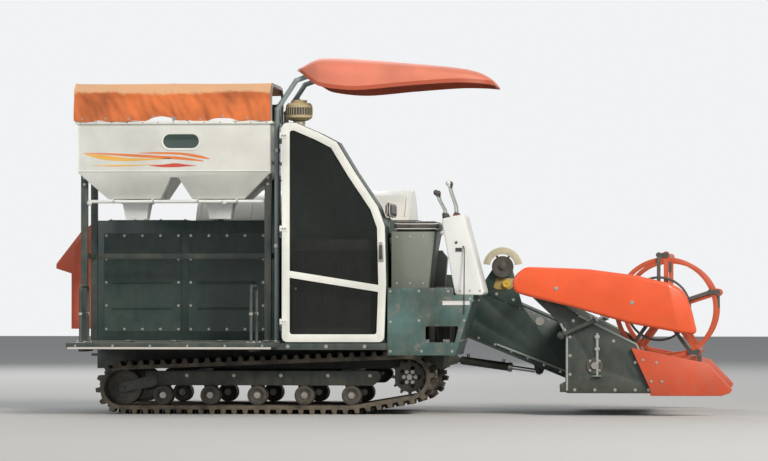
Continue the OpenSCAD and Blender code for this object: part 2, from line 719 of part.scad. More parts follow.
module seat_base() color("#b9bdb8") {
    difference() {
        across(seat_y[0], seat_y[1]) polygon([
            [seat_x[0], floor_z], [seat_x[1] - 50, floor_z], [seat_x[1], seat_top], [seat_x[0], seat_top]
        ]);
        across(seat_y[0] + shell_t, seat_y[1] - shell_t) polygon([
            [seat_x[0] + shell_t, floor_z - 1], [seat_x[1] - 50 - shell_t, floor_z - 1],
            [seat_x[1] - shell_t, seat_top - shell_t], [seat_x[0] + shell_t, seat_top - shell_t]
        ]);
    }
    for (y = [seat_y[0] + 240, seat_y[1] - 80]) across(y, y + 30)
        polygon([
            [seat_x[0], seat_top - 40], [seat_x[0], seat_top - 4], [7, seat_top - 4], [7, seat_top + 180],
            [1, seat_top + 180], [1, seat_top - 40]
        ]);
}

module soft_block(x, y, z, r) hull() for (a = [x[0] + r, x[1] - r], b = [y[0] + r, y[1] - r], c = [z[0] + r, z[1] - r])
    translate([a, b, c]) sphere(r = r, $fn = 16);

module seat_cushion() color("#1e1e1f") soft_block([seat_x[0] + 4, seat_x[1] + 40], seat_y, [seat_top + seat_gap, seat_top + 80], 24);
module seat_back() color("#1e1e1f") soft_block([7.5, 62], seat_y, [seat_top + 104, seat_top + 230], 20);

floor_x = [44, 536];
floor_t = 6;
shelf_z = floor_z - 60;
shelf_front_x = 690;
column_outline = [[549, shelf_z + floor_t], [772, shelf_z + floor_t], [617, shelf_z + 614], [445, shelf_z + 578]];
module operator_floor() color("#59605d") {
    block(floor_x, station_y, [floor_z - floor_t, floor_z]);
    across(station_y[0], station_y[1]) polygon([
        [floor_x[1] - floor_t, floor_z], [floor_x[1], floor_z], [floor_x[1], shelf_z + floor_t],
        [shelf_front_x, shelf_z + floor_t], [shelf_front_x, shelf_z], [floor_x[1] - floor_t, shelf_z]
    ]);
    for (x = [340, 495], y = [station_y[0] + 236, station_y[1] - 190])
        block([x, x + 40], [y, y + 40], [frame_top, floor_z - floor_t]);
    block([floor_x[0], 500], [station_y[1] - 4, station_y[1]], [frame_top + 20, floor_z - floor_t]);
    block([360, 400], [station_y[1] - 44, station_y[1] - 4], [frame_top, floor_z - floor_t]);
}

step_hole = [330, 548];
step_hole_z = [542, 668];
module step_panel() color("#33504b") {
    difference() {
        across(station_y[0] - 4, station_y[0]) polygon([
            [floor_x[0], 450], [556, 450], [576, 522], [shelf_front_x, shelf_z], [shelf_front_x, shelf_z + floor_t],
            [floor_x[1], shelf_z + floor_t], [floor_x[1], floor_z], [floor_x[0], floor_z]
        ]);
        across(station_y[0] - 5, station_y[0] + 1) rounded(12) polygon([
            [step_hole[0], step_hole_z[0]], [step_hole[1], step_hole_z[0]],
            [step_hole[1] + 32, step_hole_z[1]], [step_hole[0], step_hole_z[1]]
        ]);
    }
    across(station_y[0], station_y[1] - 8) polygon([
        [shelf_front_x, shelf_z], [576, 522], [556, 450], [552, 450], [572, 522], [shelf_front_x - 5, shelf_z]
    ]);
    block([step_hole[0] - 5, step_hole[1] + 5], [station_y[0], station_y[0] + 130], [frame_top, frame_top + 4]);
}

module front_column() color("#e6e3da") difference() {
    across(column_y[0], column_y[1]) rounded(24) polygon(column_outline);
    across(column_y[0] + 60, column_y[1] - 60) polygon([
        [440, shelf_z + 4], [560, shelf_z + floor_t], [700, shelf_z + floor_t], [640, shelf_z + 264], [500, shelf_z + 264]
    ]);
}

lever_r = 9;
module lever(base, tip, r) color("#2b2b2b") {
    bar(base, tip, r);
    translate(tip) sphere(r = r * 2.6);
}

module control_levers() difference() {
    for (y = [column_y[0] + 120, column_y[0] + 380]) {
        lever([486, y, shelf_z + 544], [396, y, shelf_z + 778], lever_r);
        lever([560, y + 40, shelf_z + 544], [486, y + 40, shelf_z + 850], lever_r);
    }
    across(column_y[0], column_y[1]) offset(delta = seat_gap) polygon(column_outline);
}

module side_console() color("#454b49") {
    y = [hood_y1 - 130, hood_y1 - 4];
    top = floor_z + 284;
    across(y[0], y[1]) polygon([[60, floor_z], [420, floor_z], [440, top - 50], [400, top], [60, top]]);
    for (x = [160, 260, 360]) lever([x, (y[0] + y[1]) / 2, top - 10], [x + 30, (y[0] + y[1]) / 2, top + 140], 7);
}

// The canopy's sections from tail to nose: [x, rim height, crown height, half width share]
canopy_rows = [
    [-653, 2596, 2612, 0.55], [-600, 2562, 2640, 0.75], [-520, 2500, 2682, 0.88], [-430, 2462, 2696, 0.95],
    [-180, 2439, 2684, 1], [173, 2468, 2655, 1], [524, 2492, 2621, 0.97], [700, 2490, 2588, 0.9],
    [805, 2482, 2538, 0.78], [851, 2476, 2490, 0.6]
];
canopy_t = 8;
function canopy_ring(row, inset) =
    let (w = canopy_w / 2 * row[3] - inset, h = max(row[2] - row[1] - inset, 4))
    [
        for (a = [0 : 15 : 180])
            [row[0], canopy_mid_y - w * sign(cos(a)) * pow(abs(cos(a)), 0.45), row[1] + h * pow(sin(a), 0.45)]
    ];

// The height of the canopy's underside at a row, at distance d from the middle
function canopy_under(row, d) = lookup(d, [for (p = canopy_ring(row, canopy_t)) if (p[1] >= canopy_mid_y) [p[1] - canopy_mid_y, p[2]]]);
function reversed(v) = [for (i = [len(v) - 1 : -1 : 0]) v[i]];
function canopy_section(row) =
    let (under = canopy_ring(row, canopy_t), n = len(under) - 1, lip = [0, 0, 1])
    concat(reversed(canopy_ring(row, 0)), [for (i = [0 : n]) under[i] + (i == 0 || i == n ? lip : [0, 0, 0])]);

// A solid through equal closed rings of points
module loft(rings) {
    n = len(rings[0]);
    m = len(rings);
    polyhedron(
        [for (r = rings) each r],
        concat(
            [[for (i = [n - 1 : -1 : 0]) i]],
            [for (k = [0 : m - 2], i = [0 : n - 1]) let (j = (i + 1) % n) [k * n + i, k * n + j, (k + 1) * n + j]],
            [for (k = [0 : m - 2], i = [0 : n - 1]) let (j = (i + 1) % n) [k * n + i, (k + 1) * n + j, (k + 1) * n + i]],
            [[for (i = [0 : n - 1]) (m - 1) * n + i]]
        )
    );
}
post_y = [body_right_y + 100, hood_y1 - 120];
post_path = [[canopy_post_x, deck_top], [canopy_post_x, 2300], [-655, 2520], [-430, 2600], [300, 2580]];
function arm_top(x) = let (a = post_path[3], b = post_path[4]) a[1] + (x - a[0]) / (b[0] - a[0]) * (b[1] - a[1]);
module canopy() color("#d9735a") loft([for (row = canopy_rows) canopy_section(row)]);

module canopy_post() color("#7f8a8a") {
    for (y = post_y) elbow_tube([for (p = post_path) [p[0], y, p[1]]], canopy_post_r);
    for (y = post_y) let (d = abs(y - canopy_mid_y) + 10, a = canopy_rows[4], b = canopy_rows[5]) across(y - 10, y + 10) polygon([
        [a[0], arm_top(a[0])], [b[0], arm_top(b[0])],
        [b[0], canopy_under(b, d) - seat_gap], [a[0], canopy_under(a, d) - seat_gap]
    ]);
    for (x = [-300, 200]) bar([x, post_y[0], arm_top(x)], [x, post_y[1], arm_top(x)], canopy_post_r * 0.7);
    bar([canopy_post_x, post_y[0], 1900], [canopy_post_x, post_y[1], 1900], canopy_post_r * 0.7);
}

// Thresher: a box with an open threshing chamber on top and a straw outlet behind
intake = [[thresher_mid_y - 200, thresher_mid_y + 200], [900, 1060]];
outlet_x = -1720;
outlet_z = [620, 1330];
module thresher_body() color("#35524b") difference() {
    union() {
        block([thresher_rear_x, thresher_front_x], [thresher_y0, thresher_y1], [frame_top, thresher_top]);
        for (x = cover_knuckle_x) along(x + 40, x + 80) {
            cover_pin(cover_hinge_r);
            translate([cover_hinge[0] - cover_hinge_r, thresher_top - 1]) square([2 * cover_hinge_r, cover_hinge[1] - thresher_top + 1]);
        }
        for (y = [feeder_y[0] - 30, feeder_y[1] + 10]) across(y, y + 20) polygon([
            [thresher_front_x - 1, 640], [pivot[0] + 40, pivot[1] - 60], [pivot[0] + 60, pivot[1] + 10],
            [pivot[0], pivot[1] + 70], [thresher_front_x - 1, 1100]
        ]);
    }
    along(chamber_x[0], chamber_x[1]) {
        translate([thresher_mid_y, drum_z]) circle(r = chamber_r);
        translate([thresher_mid_y - chamber_r, drum_z]) square([2 * chamber_r, 400]);
    }
    block([chamber_x[1] - 1, thresher_front_x + 1], intake[0], intake[1]);
    block([thresher_rear_x - 1, outlet_x], [thresher_y0 + 40, thresher_y1 - 40], outlet_z);
    block([outlet_x - 1, chamber_x[0] + 1], [thresher_mid_y - 200, thresher_mid_y + 200], [960, 1180]);
    for (x = [chamber_x[0] - 20, chamber_x[1] + 20]) along(x - 30, x + 30)
        translate([thresher_mid_y, drum_z]) circle(r = 26 + run_gap);
    for (y = [feeder_y[0] - 31, feeder_y[1] + 9]) y_rod(pivot, y, y + 22, 30 + run_gap);
    for (x = cover_knuckle_x) along(x + 39, x + 81) cover_pin(4 + run_gap);
}

cover_x = [chamber_x[0] - 30, chamber_x[1] + 30];
cover_knuckle_x = [cover_x[0] + 140, (cover_x[0] + cover_x[1]) / 2, cover_x[1] - 220];
module cover_pin(r) translate(cover_hinge) circle(r = r);
cover_half = thresher_w / 2 - 40;
cover_arc_r = (cover_half * cover_half + cover_rise * cover_rise) / (2 * cover_rise);
module cover_outline(inset) intersection() {
    translate([thresher_mid_y, thresher_top + seat_gap + cover_rise - cover_arc_r]) circle(r = cover_arc_r - inset);
    translate([thresher_mid_y - cover_half + inset, thresher_top + seat_gap]) square([2 * (cover_half - inset), cover_rise]);
}
module drum_cover() color("#e2dccb") {
    difference() {
        along(cover_x[0], cover_x[1]) cover_outline(0);
        along(cover_x[0] + 5, cover_x[1] - 5) translate([0, -1]) cover_outline(5);
        along(cover_x[0] + 5, cover_x[1] - 5) translate([thresher_mid_y - cover_half + 14, thresher_top - 1])
            square([2 * cover_half - 28, 20]);
    }
    for (x = cover_knuckle_x) {
        along(x - 15, x + 95) cover_pin(4);
        along(x, x + 39.5) {
            cover_pin(cover_hinge_r);
            translate(cover_hinge) polygon([[0, -5], [26, -5], [40, 11], [40, 16], [0, 5]]);
        }
    }
}

module threshing_drum() color("#6a6d6c") {
    x = [chamber_x[0] + 30, chamber_x[1] - 30];
    along(chamber_x[0] - 40, chamber_x[1] + 40) translate([thresher_mid_y, drum_z]) circle(r = 26);
    for (k = [0 : 3]) let (d = x[0] + k * (x[1] - x[0] - 10) / 3) along(d, d + 10)
        translate([thresher_mid_y, drum_z]) circle(r = drum_r - 50);
    for (k = [0 : drum_bar_n - 1]) translate([0, thresher_mid_y, drum_z]) rotate([k * 360 / drum_bar_n, 0, 0])
        translate([0, 0, drum_r - 62]) {
            translate([x[0], -20, 0]) cube([x[1] - x[0], 40, 22]);
            for (j = [0 : 11]) translate([x[0] + 60 + j * (x[1] - x[0] - 120) / 11, 0, 20]) cylinder(h = 42, r = 7);
        }
}

hood_wall = 5;
hood_tip = [[-2619, 1144], [-2619, 1108]];
hood_rear_x = -2500;
hood_low_z = 640;
module rear_hood() color("#b5402a") difference() {
    across(thresher_y0 + 20, thresher_y1 - 20) polygon([
        [thresher_rear_x - seat_gap, thresher_top - 2], [thresher_rear_x - 120, thresher_top - 80], hood_tip[0], hood_tip[1],
        [hood_rear_x, 1070], [hood_rear_x, hood_low_z], [thresher_rear_x - seat_gap, hood_low_z]
    ]);
    across(thresher_y0 + 20 + hood_wall, thresher_y1 - 20 - hood_wall) polygon([
        [thresher_rear_x + 1, thresher_top - 10], [thresher_rear_x - 118, thresher_top - 88],
        hood_tip[0] + [hood_wall, -3], hood_tip[1] + [hood_wall, 4], [hood_rear_x + hood_wall, 1074],
        [hood_rear_x + hood_wall, hood_low_z - 1], [thresher_rear_x + 1, hood_low_z - 1]
    ]);
}

// The covers on the left side: [rear x, front x, low z, high z]
cover_panels = [[thresher_rear_x + 30, -1700, 620, 1400], [-1660, -980, 620, 1430], [-940, -120, 620, 1430]];
module side_covers() color("#e2dccb") for (p = cover_panels) difference() {
    across(thresher_y1 + seat_gap, thresher_y1 + 40) rounded(40) polygon([[p[0], p[2]], [p[1], p[2]], [p[1], p[3]], [p[0], p[3]]]);
    across(thresher_y1, thresher_y1 + 36) rounded(36)
        polygon([[p[0] + 4, p[2] + 4], [p[1] - 4, p[2] + 4], [p[1] - 4, p[3] - 4], [p[0] + 4, p[3] - 4]]);
}

elevator_x = tank_front_x - 54;
elevator_r = 46;
elevator_y = tank_y1 + 20 + elevator_r;
module grain_elevator() color("#35524b") {
    translate([elevator_x, elevator_y, deck_top + seat_gap]) cylinder(h = tank_top + 92 - deck_top - seat_gap, r = elevator_r);
    block([elevator_x - 52, elevator_x + 52], [elevator_y - elevator_r, thresher_y0 - seat_gap], [560, 720]);
    block([elevator_x - 46, elevator_x + 46], [tank_y1 - 130, elevator_y + elevator_r], [tank_top + 56, tank_top + 150]);
    translate([elevator_x, tank_y1 - 80, tank_top + 20]) cylinder(h = 40, r = 44);
}

// Feeder house: a sloping channel that turns about the drum's inlet
feeder_front = [back_x - sheet_t, 242, 650];
module feeder_side() polygon(concat(
    [for (a = [68 : 6 : 248]) pivot + feeder_end_r * [cos(a), sin(a)]],
    [[feeder_front[0], feeder_front[1]], [feeder_front[0], feeder_front[2]]]
));
module feeder_wrap() difference() {
    feeder_side();
    offset(delta = -feeder_wall) feeder_side();
    polygon([[1200, 340], [1420, 252], [1420, 632], [1200, 720]]);
}
module behind_pivot(gap) translate(pivot) rotate(68) translate([-400, -gap]) square([800, 400]);
module feeder_house() color("#35524b") {
    for (y = [feeder_y[0], feeder_y[1] - feeder_wall]) across(y, y + feeder_wall) difference() {
        feeder_side();
        translate(pivot) circle(r = 30 + run_gap);
    }
    inner_y = [feeder_y[0] + feeder_wall + seat_gap, feeder_y[1] - feeder_wall - seat_gap];
    across(inner_y[0], inner_y[1]) difference() {
        feeder_wrap();
        behind_pivot(seat_gap);
    }
    difference() {
        across(inner_y[0], inner_y[1]) intersection() {
            feeder_wrap();
            behind_pivot(0);
        }
        block([pivot[0] - feeder_end_r - 1, pivot[0] - feeder_end_r + 60], intake[0], [910, 1000]);
    }
    y_rod(pivot, feeder_y[0] - 34, feeder_y[1] + 34, 30);
    for (s = [-1, 1]) across(lift_y + s * 30 - 4, lift_y + s * 30 + 4)
        polygon([[1075, 377], [1165, 340], [1146, 296], [1120, 284], [1094, 296]]);
    y_rod(lift_pins[1], lift_y - 38, lift_y + 38, 14);
    pulley_bracket();
}

// The header's side plate: its rear horn carries the reel arms' pivot tube
side_points = [
    [1380, 170], [2030, 170], [2070, 200], [1915, 540], [1470, 762], [1404, 800], [1175, 1038], [1085, 1038],
    [1066, 950], [1330, 700], [1380, 600]
];
pivot_tube_r = 30;
reel_pin_r = 10;
beam_s = 60;
function arc_points(c, r, a0, a1, n) = [for (k = [0 : n]) let (a = a0 + (a1 - a0) * k / n) c + r * [cos(a), sin(a)]];
module header_frame() color("#35524b") {
    difference() {
        union() {
            for (y = side_y) let (y0 = min(y, y + (y < 0 ? 0 : -side_t))) across(y0, y0 + side_t)
                rounded(18) polygon(side_points);
            across(header_y[0], header_y[1]) polygon(concat(
                arc_points([auger_x, auger_z], trough_r, 180, 270, 15), [[knife_x, floor_low_z], [knife_x, floor_low_z - trough_t]],
                arc_points([auger_x, auger_z], trough_r + trough_t, 270, 180, 15)
            ));
            block([back_x - sheet_t, back_x], header_y, [floor_low_z - trough_t, 762]);
            for (z = [floor_low_z - trough_t, 702])
                block([back_x - sheet_t - beam_s, back_x - sheet_t], header_y, [z, z + beam_s]);
        }
        block([back_x - 20, back_x + 60], [feeder_y[0] + feeder_wall, feeder_y[1] - feeder_wall], mouth_z);
        for (y = side_y) {
            y_rod([auger_x, auger_z], y - side_t - 1, y + side_t + 1, 26 + run_gap);
            y_rod(arm_pivot, y - side_t - 1, y + side_t + 1, pivot_tube_r + run_gap);
        }
    }
    for (y = [[side_y[0] - arm_gap - arm_t, side_y[0], -6, 0], [side_y[1], side_y[1] + arm_gap + arm_t, 0, 6]]) {
        y_rod(reel_lift_pins[0], y[0], y[1], reel_pin_r);
        y_rod(reel_lift_pins[0], (y[2] < 0 ? y[1] : y[0]) + y[2], (y[2] < 0 ? y[1] : y[0]) + y[3], 30);
    }
}

// One auger flight wound from y0 to y1; hand is 1 or -1
flight_t = 5;
flight_steps = 24;
function flight_ring(y, a, hand) =
    let (
        r0 = (auger_tube_r + seat_gap) / cos(180 / flight_steps),
        ring = [for (c = [[r0, -1], [auger_r, -1], [auger_r, 1], [r0, 1]])
            [auger_x + c[0] * cos(a), y + c[1] * flight_t / 2, auger_z + c[0] * sin(a)]]
    )
    hand > 0 ? reversed(ring) : ring;
module flight(y0, y1, hand) {
    n = ceil((y1 - y0) / auger_pitch * flight_steps);
    loft([
        for (k = [0 : n])
            let (y = y0 + (y1 - y0) * k / n)
            flight_ring(y, hand * 360 * (y - y0) / auger_pitch, hand)
    ]);
}
module header_auger() color("#8a8f8e") {
    y_rod([auger_x, auger_z], header_y[0] + 12, header_y[1] - 12, auger_tube_r);
    y_rod([auger_x, auger_z], side_y[0] - 24, side_y[1] + 24, 26);
    flight(header_y[0] + 20, feeder_y[0] + 20, 1);
    flight(feeder_y[1] - 20, header_y[1] - 20, -1);
    for (k = [0 : 7]) let (y = feeder_y[0] + 60 + k * (feeder_w - 120) / 7, a = 90 * k + 45)
        bar(
            [auger_x + 60 * cos(a), y, auger_z + 60 * sin(a)],
            [auger_x + (auger_r - 4) * cos(a), y, auger_z + (auger_r - 4) * sin(a)], 7
        );
}

module cutter_bar() color("#77797a") {
    pitch = cut_w / guard_n;
    block([knife_x, knife_x + 40], header_y, [floor_low_z - trough_t, floor_low_z + 4]);
    translate([0, 0, floor_low_z - 14]) linear_extrude(18) for (k = [0 : guard_n - 1])
        translate([knife_x, header_y[0] + (k + 0.5) * pitch])
            polygon([[30, -15], [62, -15], [104, -8], [130, 0], [104, 8], [62, 15], [30, 15]]);
    translate([0, 0, floor_low_z + 4]) linear_extrude(3) for (k = [0 : guard_n - 2])
        translate([knife_x, header_y[0] + (k + 1) * pitch]) polygon([[12, -37], [48, -37], [98, -9], [98, 9], [48, 37], [12, 37]]);
    block([knife_x + 8, knife_x + 30], [header_y[0] + 4, header_y[1] - 4], [floor_low_z + 6, floor_low_z + 14]);
}

divider_points = [[1870, 510], [2013, 198], [2013, 152], [2540, 152], [2608, 176], [2620, 204], [2440, 394]];
module crop_dividers() color("#cf4f2a") for (s = [0, 1]) {
    y = s == 0 ? side_y[0] - 42 : side_y[1] + 42;
    d = s == 0 ? 1 : -1;
    intersection() {
        across(min(y, y + d * 60), max(y, y + d * 60)) polygon(divider_points);
        linear_extrude(600) polygon([
            [1800, y], [2200, y], [2621, y + d * 22], [2621, y + d * 42], [2200, y + d * 60], [2081, y + d * 60],
            [2081, y + d * 42], [1800, y + d * 42]
        ]);
    }
}

pulley_c = [850, 1120];
pulley_shaft_r = 14;
bracket_y = [feeder_y[0] - 8, feeder_y[0]];
module pulley_bracket() difference() {
    across(bracket_y[0], bracket_y[1]) polygon([[660, 940], [1010, 790], [910, 1150], [800, 1150]]);
    y_rod(pulley_c, bracket_y[0] - 1, bracket_y[1] + 1, pulley_shaft_r + run_gap);
}
module drive_pulley() color("#4a4f4c")
    translate([pulley_c[0], bracket_y[0] - 2, pulley_c[1]]) rotate([90, 0, 0]) rotate_extrude() polygon([
        [0, -22], [0, 62], [24, 62], [24, 50], [62, 50], [84, 54], [72, 42], [72, 36], [84, 24], [62, 28], [24, 28],
        [24, 0], [pulley_shaft_r, 0], [pulley_shaft_r, -22]
    ]);
module pulley_guard() color("#d9d0b4") {
    y = feeder_y[0] - 76;
    difference() {
        across(y, y + 67.7) circle_sector(150, 8, 172);
        across(y + 3, y + 70) circle_sector(146, -10, 190);
        across(y - 1, y + 4) translate(pulley_c) circle(r = 96);
    }
    for (a = [60, 120]) across(y + 56, y + 67.7) translate(pulley_c) rotate(a) translate([32, -8]) square([116, 16]);
}
module circle_sector(r, a0, a1) intersection() {
    translate(pulley_c) circle(r = r);
    polygon(concat([pulley_c], arc_points(pulley_c, 2 * r, a0, a1, 8)));
}

// Reel arms with the pivot tube, the cylinder lugs and the feathering ring's fixed centre
module reel_arms() color("#35524b") {
    difference() {
        union() {
            for (y = arm_y) {
                across(y[0], y[1]) link(arm_pivot, reel_c, 48, 42);
                for (c = [[y[0], y[0] + 10], [y[1] - 10, y[1]]])
                    across(c[0], c[1]) link([reel_lift_pins[1][0], 850], reel_lift_pins[1], 36, 24);
                y_rod(reel_lift_pins[1], y[0], y[1], 8);
            }
            y_rod(arm_pivot, arm_y[0][0] - 8, arm_y[1][1] - 1, pivot_tube_r);
            y_rod(ring_c, ring_y - 1.5, ring_y + ring_t + 1, eccentric_r);
            y_rod(ring_c, arm_y[0][1] - 1, ring_y, eccentric_r - 20);
        }
        y_rod(reel_c, arm_y[0][0] - 1, arm_y[1][1] + 1, reel_shaft_r + run_gap);
    }
    for (p = [[1320, 950], [1880, 846]]) y_rod(p, cover_y[0] + 4 + seat_gap, arm_y[0][0], 12);
}

cover_y = [arm_y[0][0] - 95, arm_y[0][0]];
cover_points = [
    [985, 994], [1020, 1060], [1087, 1114], [1552, 1096], [1913, 1048], [2191, 981], [2275, 922], [2324, 788], [2365, 608],
    [2250, 619], [1852, 693], [1431, 814], [1129, 886], [1008, 922]
];
module cover_shape(inset) hull() {
    across(cover_y[0] + 26, cover_y[1]) offset(delta = -inset) polygon(cover_points);
    across(cover_y[0] + inset, cover_y[0] + 26) offset(delta = -24 - inset * 0.4) polygon(cover_points);
}
module reel_cover() color("#e2552b") difference() {
    cover_shape(0);
    translate([0, 0.1, 0]) cover_shape(4);
}

function bat_angle(i) = 90 + 360 / bat_n * i;
function bat_center(i) = reel_c + reel_r * [cos(bat_angle(i)), sin(bat_angle(i))];
module spider_outline() difference() {
    union() {
        circle(r = 48);
        difference() {
            circle(r = reel_r - 15);
            circle(r = reel_r - 50);
        }
        for (i = [0 : bat_n - 1]) rotate(bat_angle(i)) {
            translate([0, -18]) square([reel_r, 36]);
            translate([reel_r, 0]) circle(r = 28);
        }
    }
    for (i = [0 : bat_n - 1]) rotate(bat_angle(i)) translate([reel_r, 0]) circle(r = bat_r + run_gap);
    circle(r = reel_tube_r + seat_gap);
}
reel_tube_r = 35;
module reel_core() color("#c8502e") {
    for (y = spider_y) across(y, y + spider_t) translate(reel_c) spider_outline();
    y_rod(reel_c, spider_y[0], spider_y[1] + spider_t, reel_tube_r);
    y_rod(reel_c, cover_y[1] - 30, arm_y[1][1] + 0.5, reel_shaft_r);
    y_rod(reel_c, cover_y[1] - 26, cover_y[1] - 14, 90);
}

module feathering_ring() color("#5a5f5c") across(ring_y, ring_y + ring_t) translate(ring_c) difference() {
    union() {
        circle(r = eccentric_r + 26);
        difference() {
            circle(r = 242);
            circle(r = 224);
        }
        for (i = [0 : bat_n - 1]) rotate(bat_angle(i)) {
            translate([eccentric_r + 10, -14]) square([reel_r - eccentric_r - 10, 28]);
            translate([reel_r, 0]) circle(r = 21);
        }
    }
    circle(r = eccentric_r + run_gap);
    for (i = [0 : bat_n - 1]) rotate(bat_angle(i)) translate([reel_r, 0]) circle(r = 8 + run_gap);
}

module bat(i) color("#3b3e3d") {
    c = bat_center(i);
    y_rod(c, crank_y, spider_y[1] + spider_t + 8, bat_r);
    across(crank_y, crank_y + crank_t) link(c, c - [crank_l, 0], 20, 14);
    y_rod(c - [crank_l, 0], ring_y - 2, crank_y + 1, 8);
    for (k = [0 : tine_n - 1]) let (y = header_y[0] + 70 + k * (cut_w - 140) / (tine_n - 1))
        translate([c[0], y, c[1] - tine_l]) cylinder(h = tine_l, r = 4);
}

// Cylinders drawn along their own line from the base pin p to the rod pin q
module aimed(p, q, y) translate([p[0], y, p[1]]) rotate([0, -atan2(q[1] - p[1], q[0] - p[0]), 0]) children();
module barrel(r, l, rod_r, eye, pin_r) difference() {
    union() {
        rotate([90, 0, 0]) cylinder(h = eye[1], r = eye[0], center = true);
        rotate([0, 90, 0]) translate([0, 0, eye[0] * 0.6]) cylinder(h = eye[0], r = eye[1] * 0.46);
        rotate([0, 90, 0]) translate([0, 0, eye[0] + 6]) cylinder(h = l - eye[0] - 6, r = r);
    }
    rotate([90, 0, 0]) cylinder(h = eye[1] + 2, r = pin_r + run_gap, center = true);
    rotate([0, 90, 0]) translate([0, 0, eye[0] + 20]) cylinder(h = l, r = rod_r + run_gap);
}
module rod(dist, rod_l, rod_r, eye, hole_r) difference() {
    union() {
        translate([dist, 0, 0]) rotate([90, 0, 0]) cylinder(h = eye[1], r = eye[0], center = true);
        rotate([0, 90, 0]) translate([0, 0, dist - rod_l]) cylinder(h = rod_l - eye[0] * 0.8, r = rod_r);
    }
    translate([dist, 0, 0]) rotate([90, 0, 0]) cylinder(h = eye[1] + 2, r = hole_r, center = true);
}

module lift_barrel() color("#30403c") aimed(lift_pins[0], lift_pins[1], lift_y) barrel(32, lift_barrel_l, 17, [26, 40], 14);
module lift_rod() color("#b9bcbe") aimed(lift_pins[0], lift_pins[1], lift_y)
    rod(norm(lift_pins[1] - lift_pins[0]), 470, 17, [33, 36], 22);

reel_lift_y = [(arm_y[0][0] + arm_y[0][1]) / 2, (arm_y[1][0] + arm_y[1][1]) / 2];
module reel_lift_barrels() color("#30403c") for (y = reel_lift_y)
    aimed(reel_lift_pins[0], reel_lift_pins[1], y) barrel(18, reel_barrel_l, 10, [19, 16], reel_pin_r);
module reel_lift_rods() color("#b9bcbe") for (y = reel_lift_y)
    aimed(reel_lift_pins[0], reel_lift_pins[1], y) rod(norm(reel_lift_pins[1] - reel_lift_pins[0]), 300, 10, [20, 16], 13);

chassis_frame();
gearbox();
track(track_y[0]);  // right_track
track(track_y[1]);  // left_track
track_frames();
track_rollers();
drive_sprockets();
deck_plate();
folding_platform();
grain_tank();
tank_stand();
bag_spouts();
tarp_hoops();
tank_tarp();
engine_housing();
engine();
radiator();
screen_door();
door_mesh();
pre_cleaner();
seat_base();
seat_cushion();
seat_back();
operator_floor();
step_panel();
front_column();
control_levers();
side_console();
canopy();
canopy_post();
thresher_body();
drum_cover();
threshing_drum();
rear_hood();
side_covers();
grain_elevator();
feeder_house();
header_frame();
header_auger();
cutter_bar();
crop_dividers();
drive_pulley();
pulley_guard();
reel_arms();
reel_cover();
reel_core();
feathering_ring();
bat(0);  // bat_1
bat(1);  // bat_2
bat(2);  // bat_3
bat(3);  // bat_4
bat(4);  // bat_5
lift_barrel();
lift_rod();
reel_lift_barrels();
reel_lift_rods();
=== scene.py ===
"""Looks for a tracked rice combine harvester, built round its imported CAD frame.

Everything is in metres: X runs forward, Y to the machine's left, Z up from the ground under the tracks.
"""

import json
import logging
import math
from dataclasses import dataclass
from enum import Enum
from itertools import product
from typing import Callable, ClassVar, Iterable, Sequence

import bmesh
import bpy
from bmesh.types import BMEdge, BMesh, BMFace, BMVert
from mathutils import Matrix, Vector, noise
from mathutils.bvhtree import BVHTree

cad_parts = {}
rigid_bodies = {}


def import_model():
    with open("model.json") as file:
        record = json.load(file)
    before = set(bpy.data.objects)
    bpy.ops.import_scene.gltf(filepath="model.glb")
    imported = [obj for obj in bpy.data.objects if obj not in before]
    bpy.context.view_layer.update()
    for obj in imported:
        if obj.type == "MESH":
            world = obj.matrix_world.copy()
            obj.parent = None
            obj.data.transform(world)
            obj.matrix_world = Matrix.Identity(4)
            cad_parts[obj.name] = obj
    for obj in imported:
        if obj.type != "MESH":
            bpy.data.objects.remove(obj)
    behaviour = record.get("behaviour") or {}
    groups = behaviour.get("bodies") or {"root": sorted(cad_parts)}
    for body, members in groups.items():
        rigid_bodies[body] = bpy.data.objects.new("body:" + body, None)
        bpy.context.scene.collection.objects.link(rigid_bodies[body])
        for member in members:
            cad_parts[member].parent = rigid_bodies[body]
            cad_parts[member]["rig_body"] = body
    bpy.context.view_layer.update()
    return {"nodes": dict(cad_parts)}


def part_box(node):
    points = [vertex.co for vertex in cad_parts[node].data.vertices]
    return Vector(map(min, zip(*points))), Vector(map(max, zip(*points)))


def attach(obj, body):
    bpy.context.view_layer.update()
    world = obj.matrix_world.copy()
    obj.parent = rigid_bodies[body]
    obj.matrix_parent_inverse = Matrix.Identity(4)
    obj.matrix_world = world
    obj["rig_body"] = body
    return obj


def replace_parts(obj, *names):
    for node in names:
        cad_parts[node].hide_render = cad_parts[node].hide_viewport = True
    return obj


log = logging.getLogger("harvester")
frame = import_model()

Point = tuple[float, float, float]
Flat = tuple[float, float]
Colour = tuple[float, float, float]
Spot = Sequence[float]
Socket = bpy.types.NodeSocket
Value = Socket | float | Spot

RIGHT, LEFT, UP, FRONT, BACK = map(Vector, ((0, -1, 0), (0, 1, 0), (0, 0, 1), (1, 0, 0), (-1, 0, 0)))
SMOOTH_ANGLE = math.radians(32)
SHARP_ANGLE = math.radians(40)
RIM_ANGLE = 0.6
FLAT_ANGLE = 0.01
WELD = 0.00002
TANK_POSTS = ((-2.275, -0.640), (-2.275, -0.160), (-0.875, -0.640), (-0.875, -0.160))


class Grain(Enum):
    """The fine surface that a finish has under its colour."""

    PAINT = "paint"
    CAST = "cast"
    BRUSHED = "brushed"
    MOULDED = "moulded"
    RUBBER = "rubber"
    VINYL = "vinyl"
    CLOTH = "cloth"


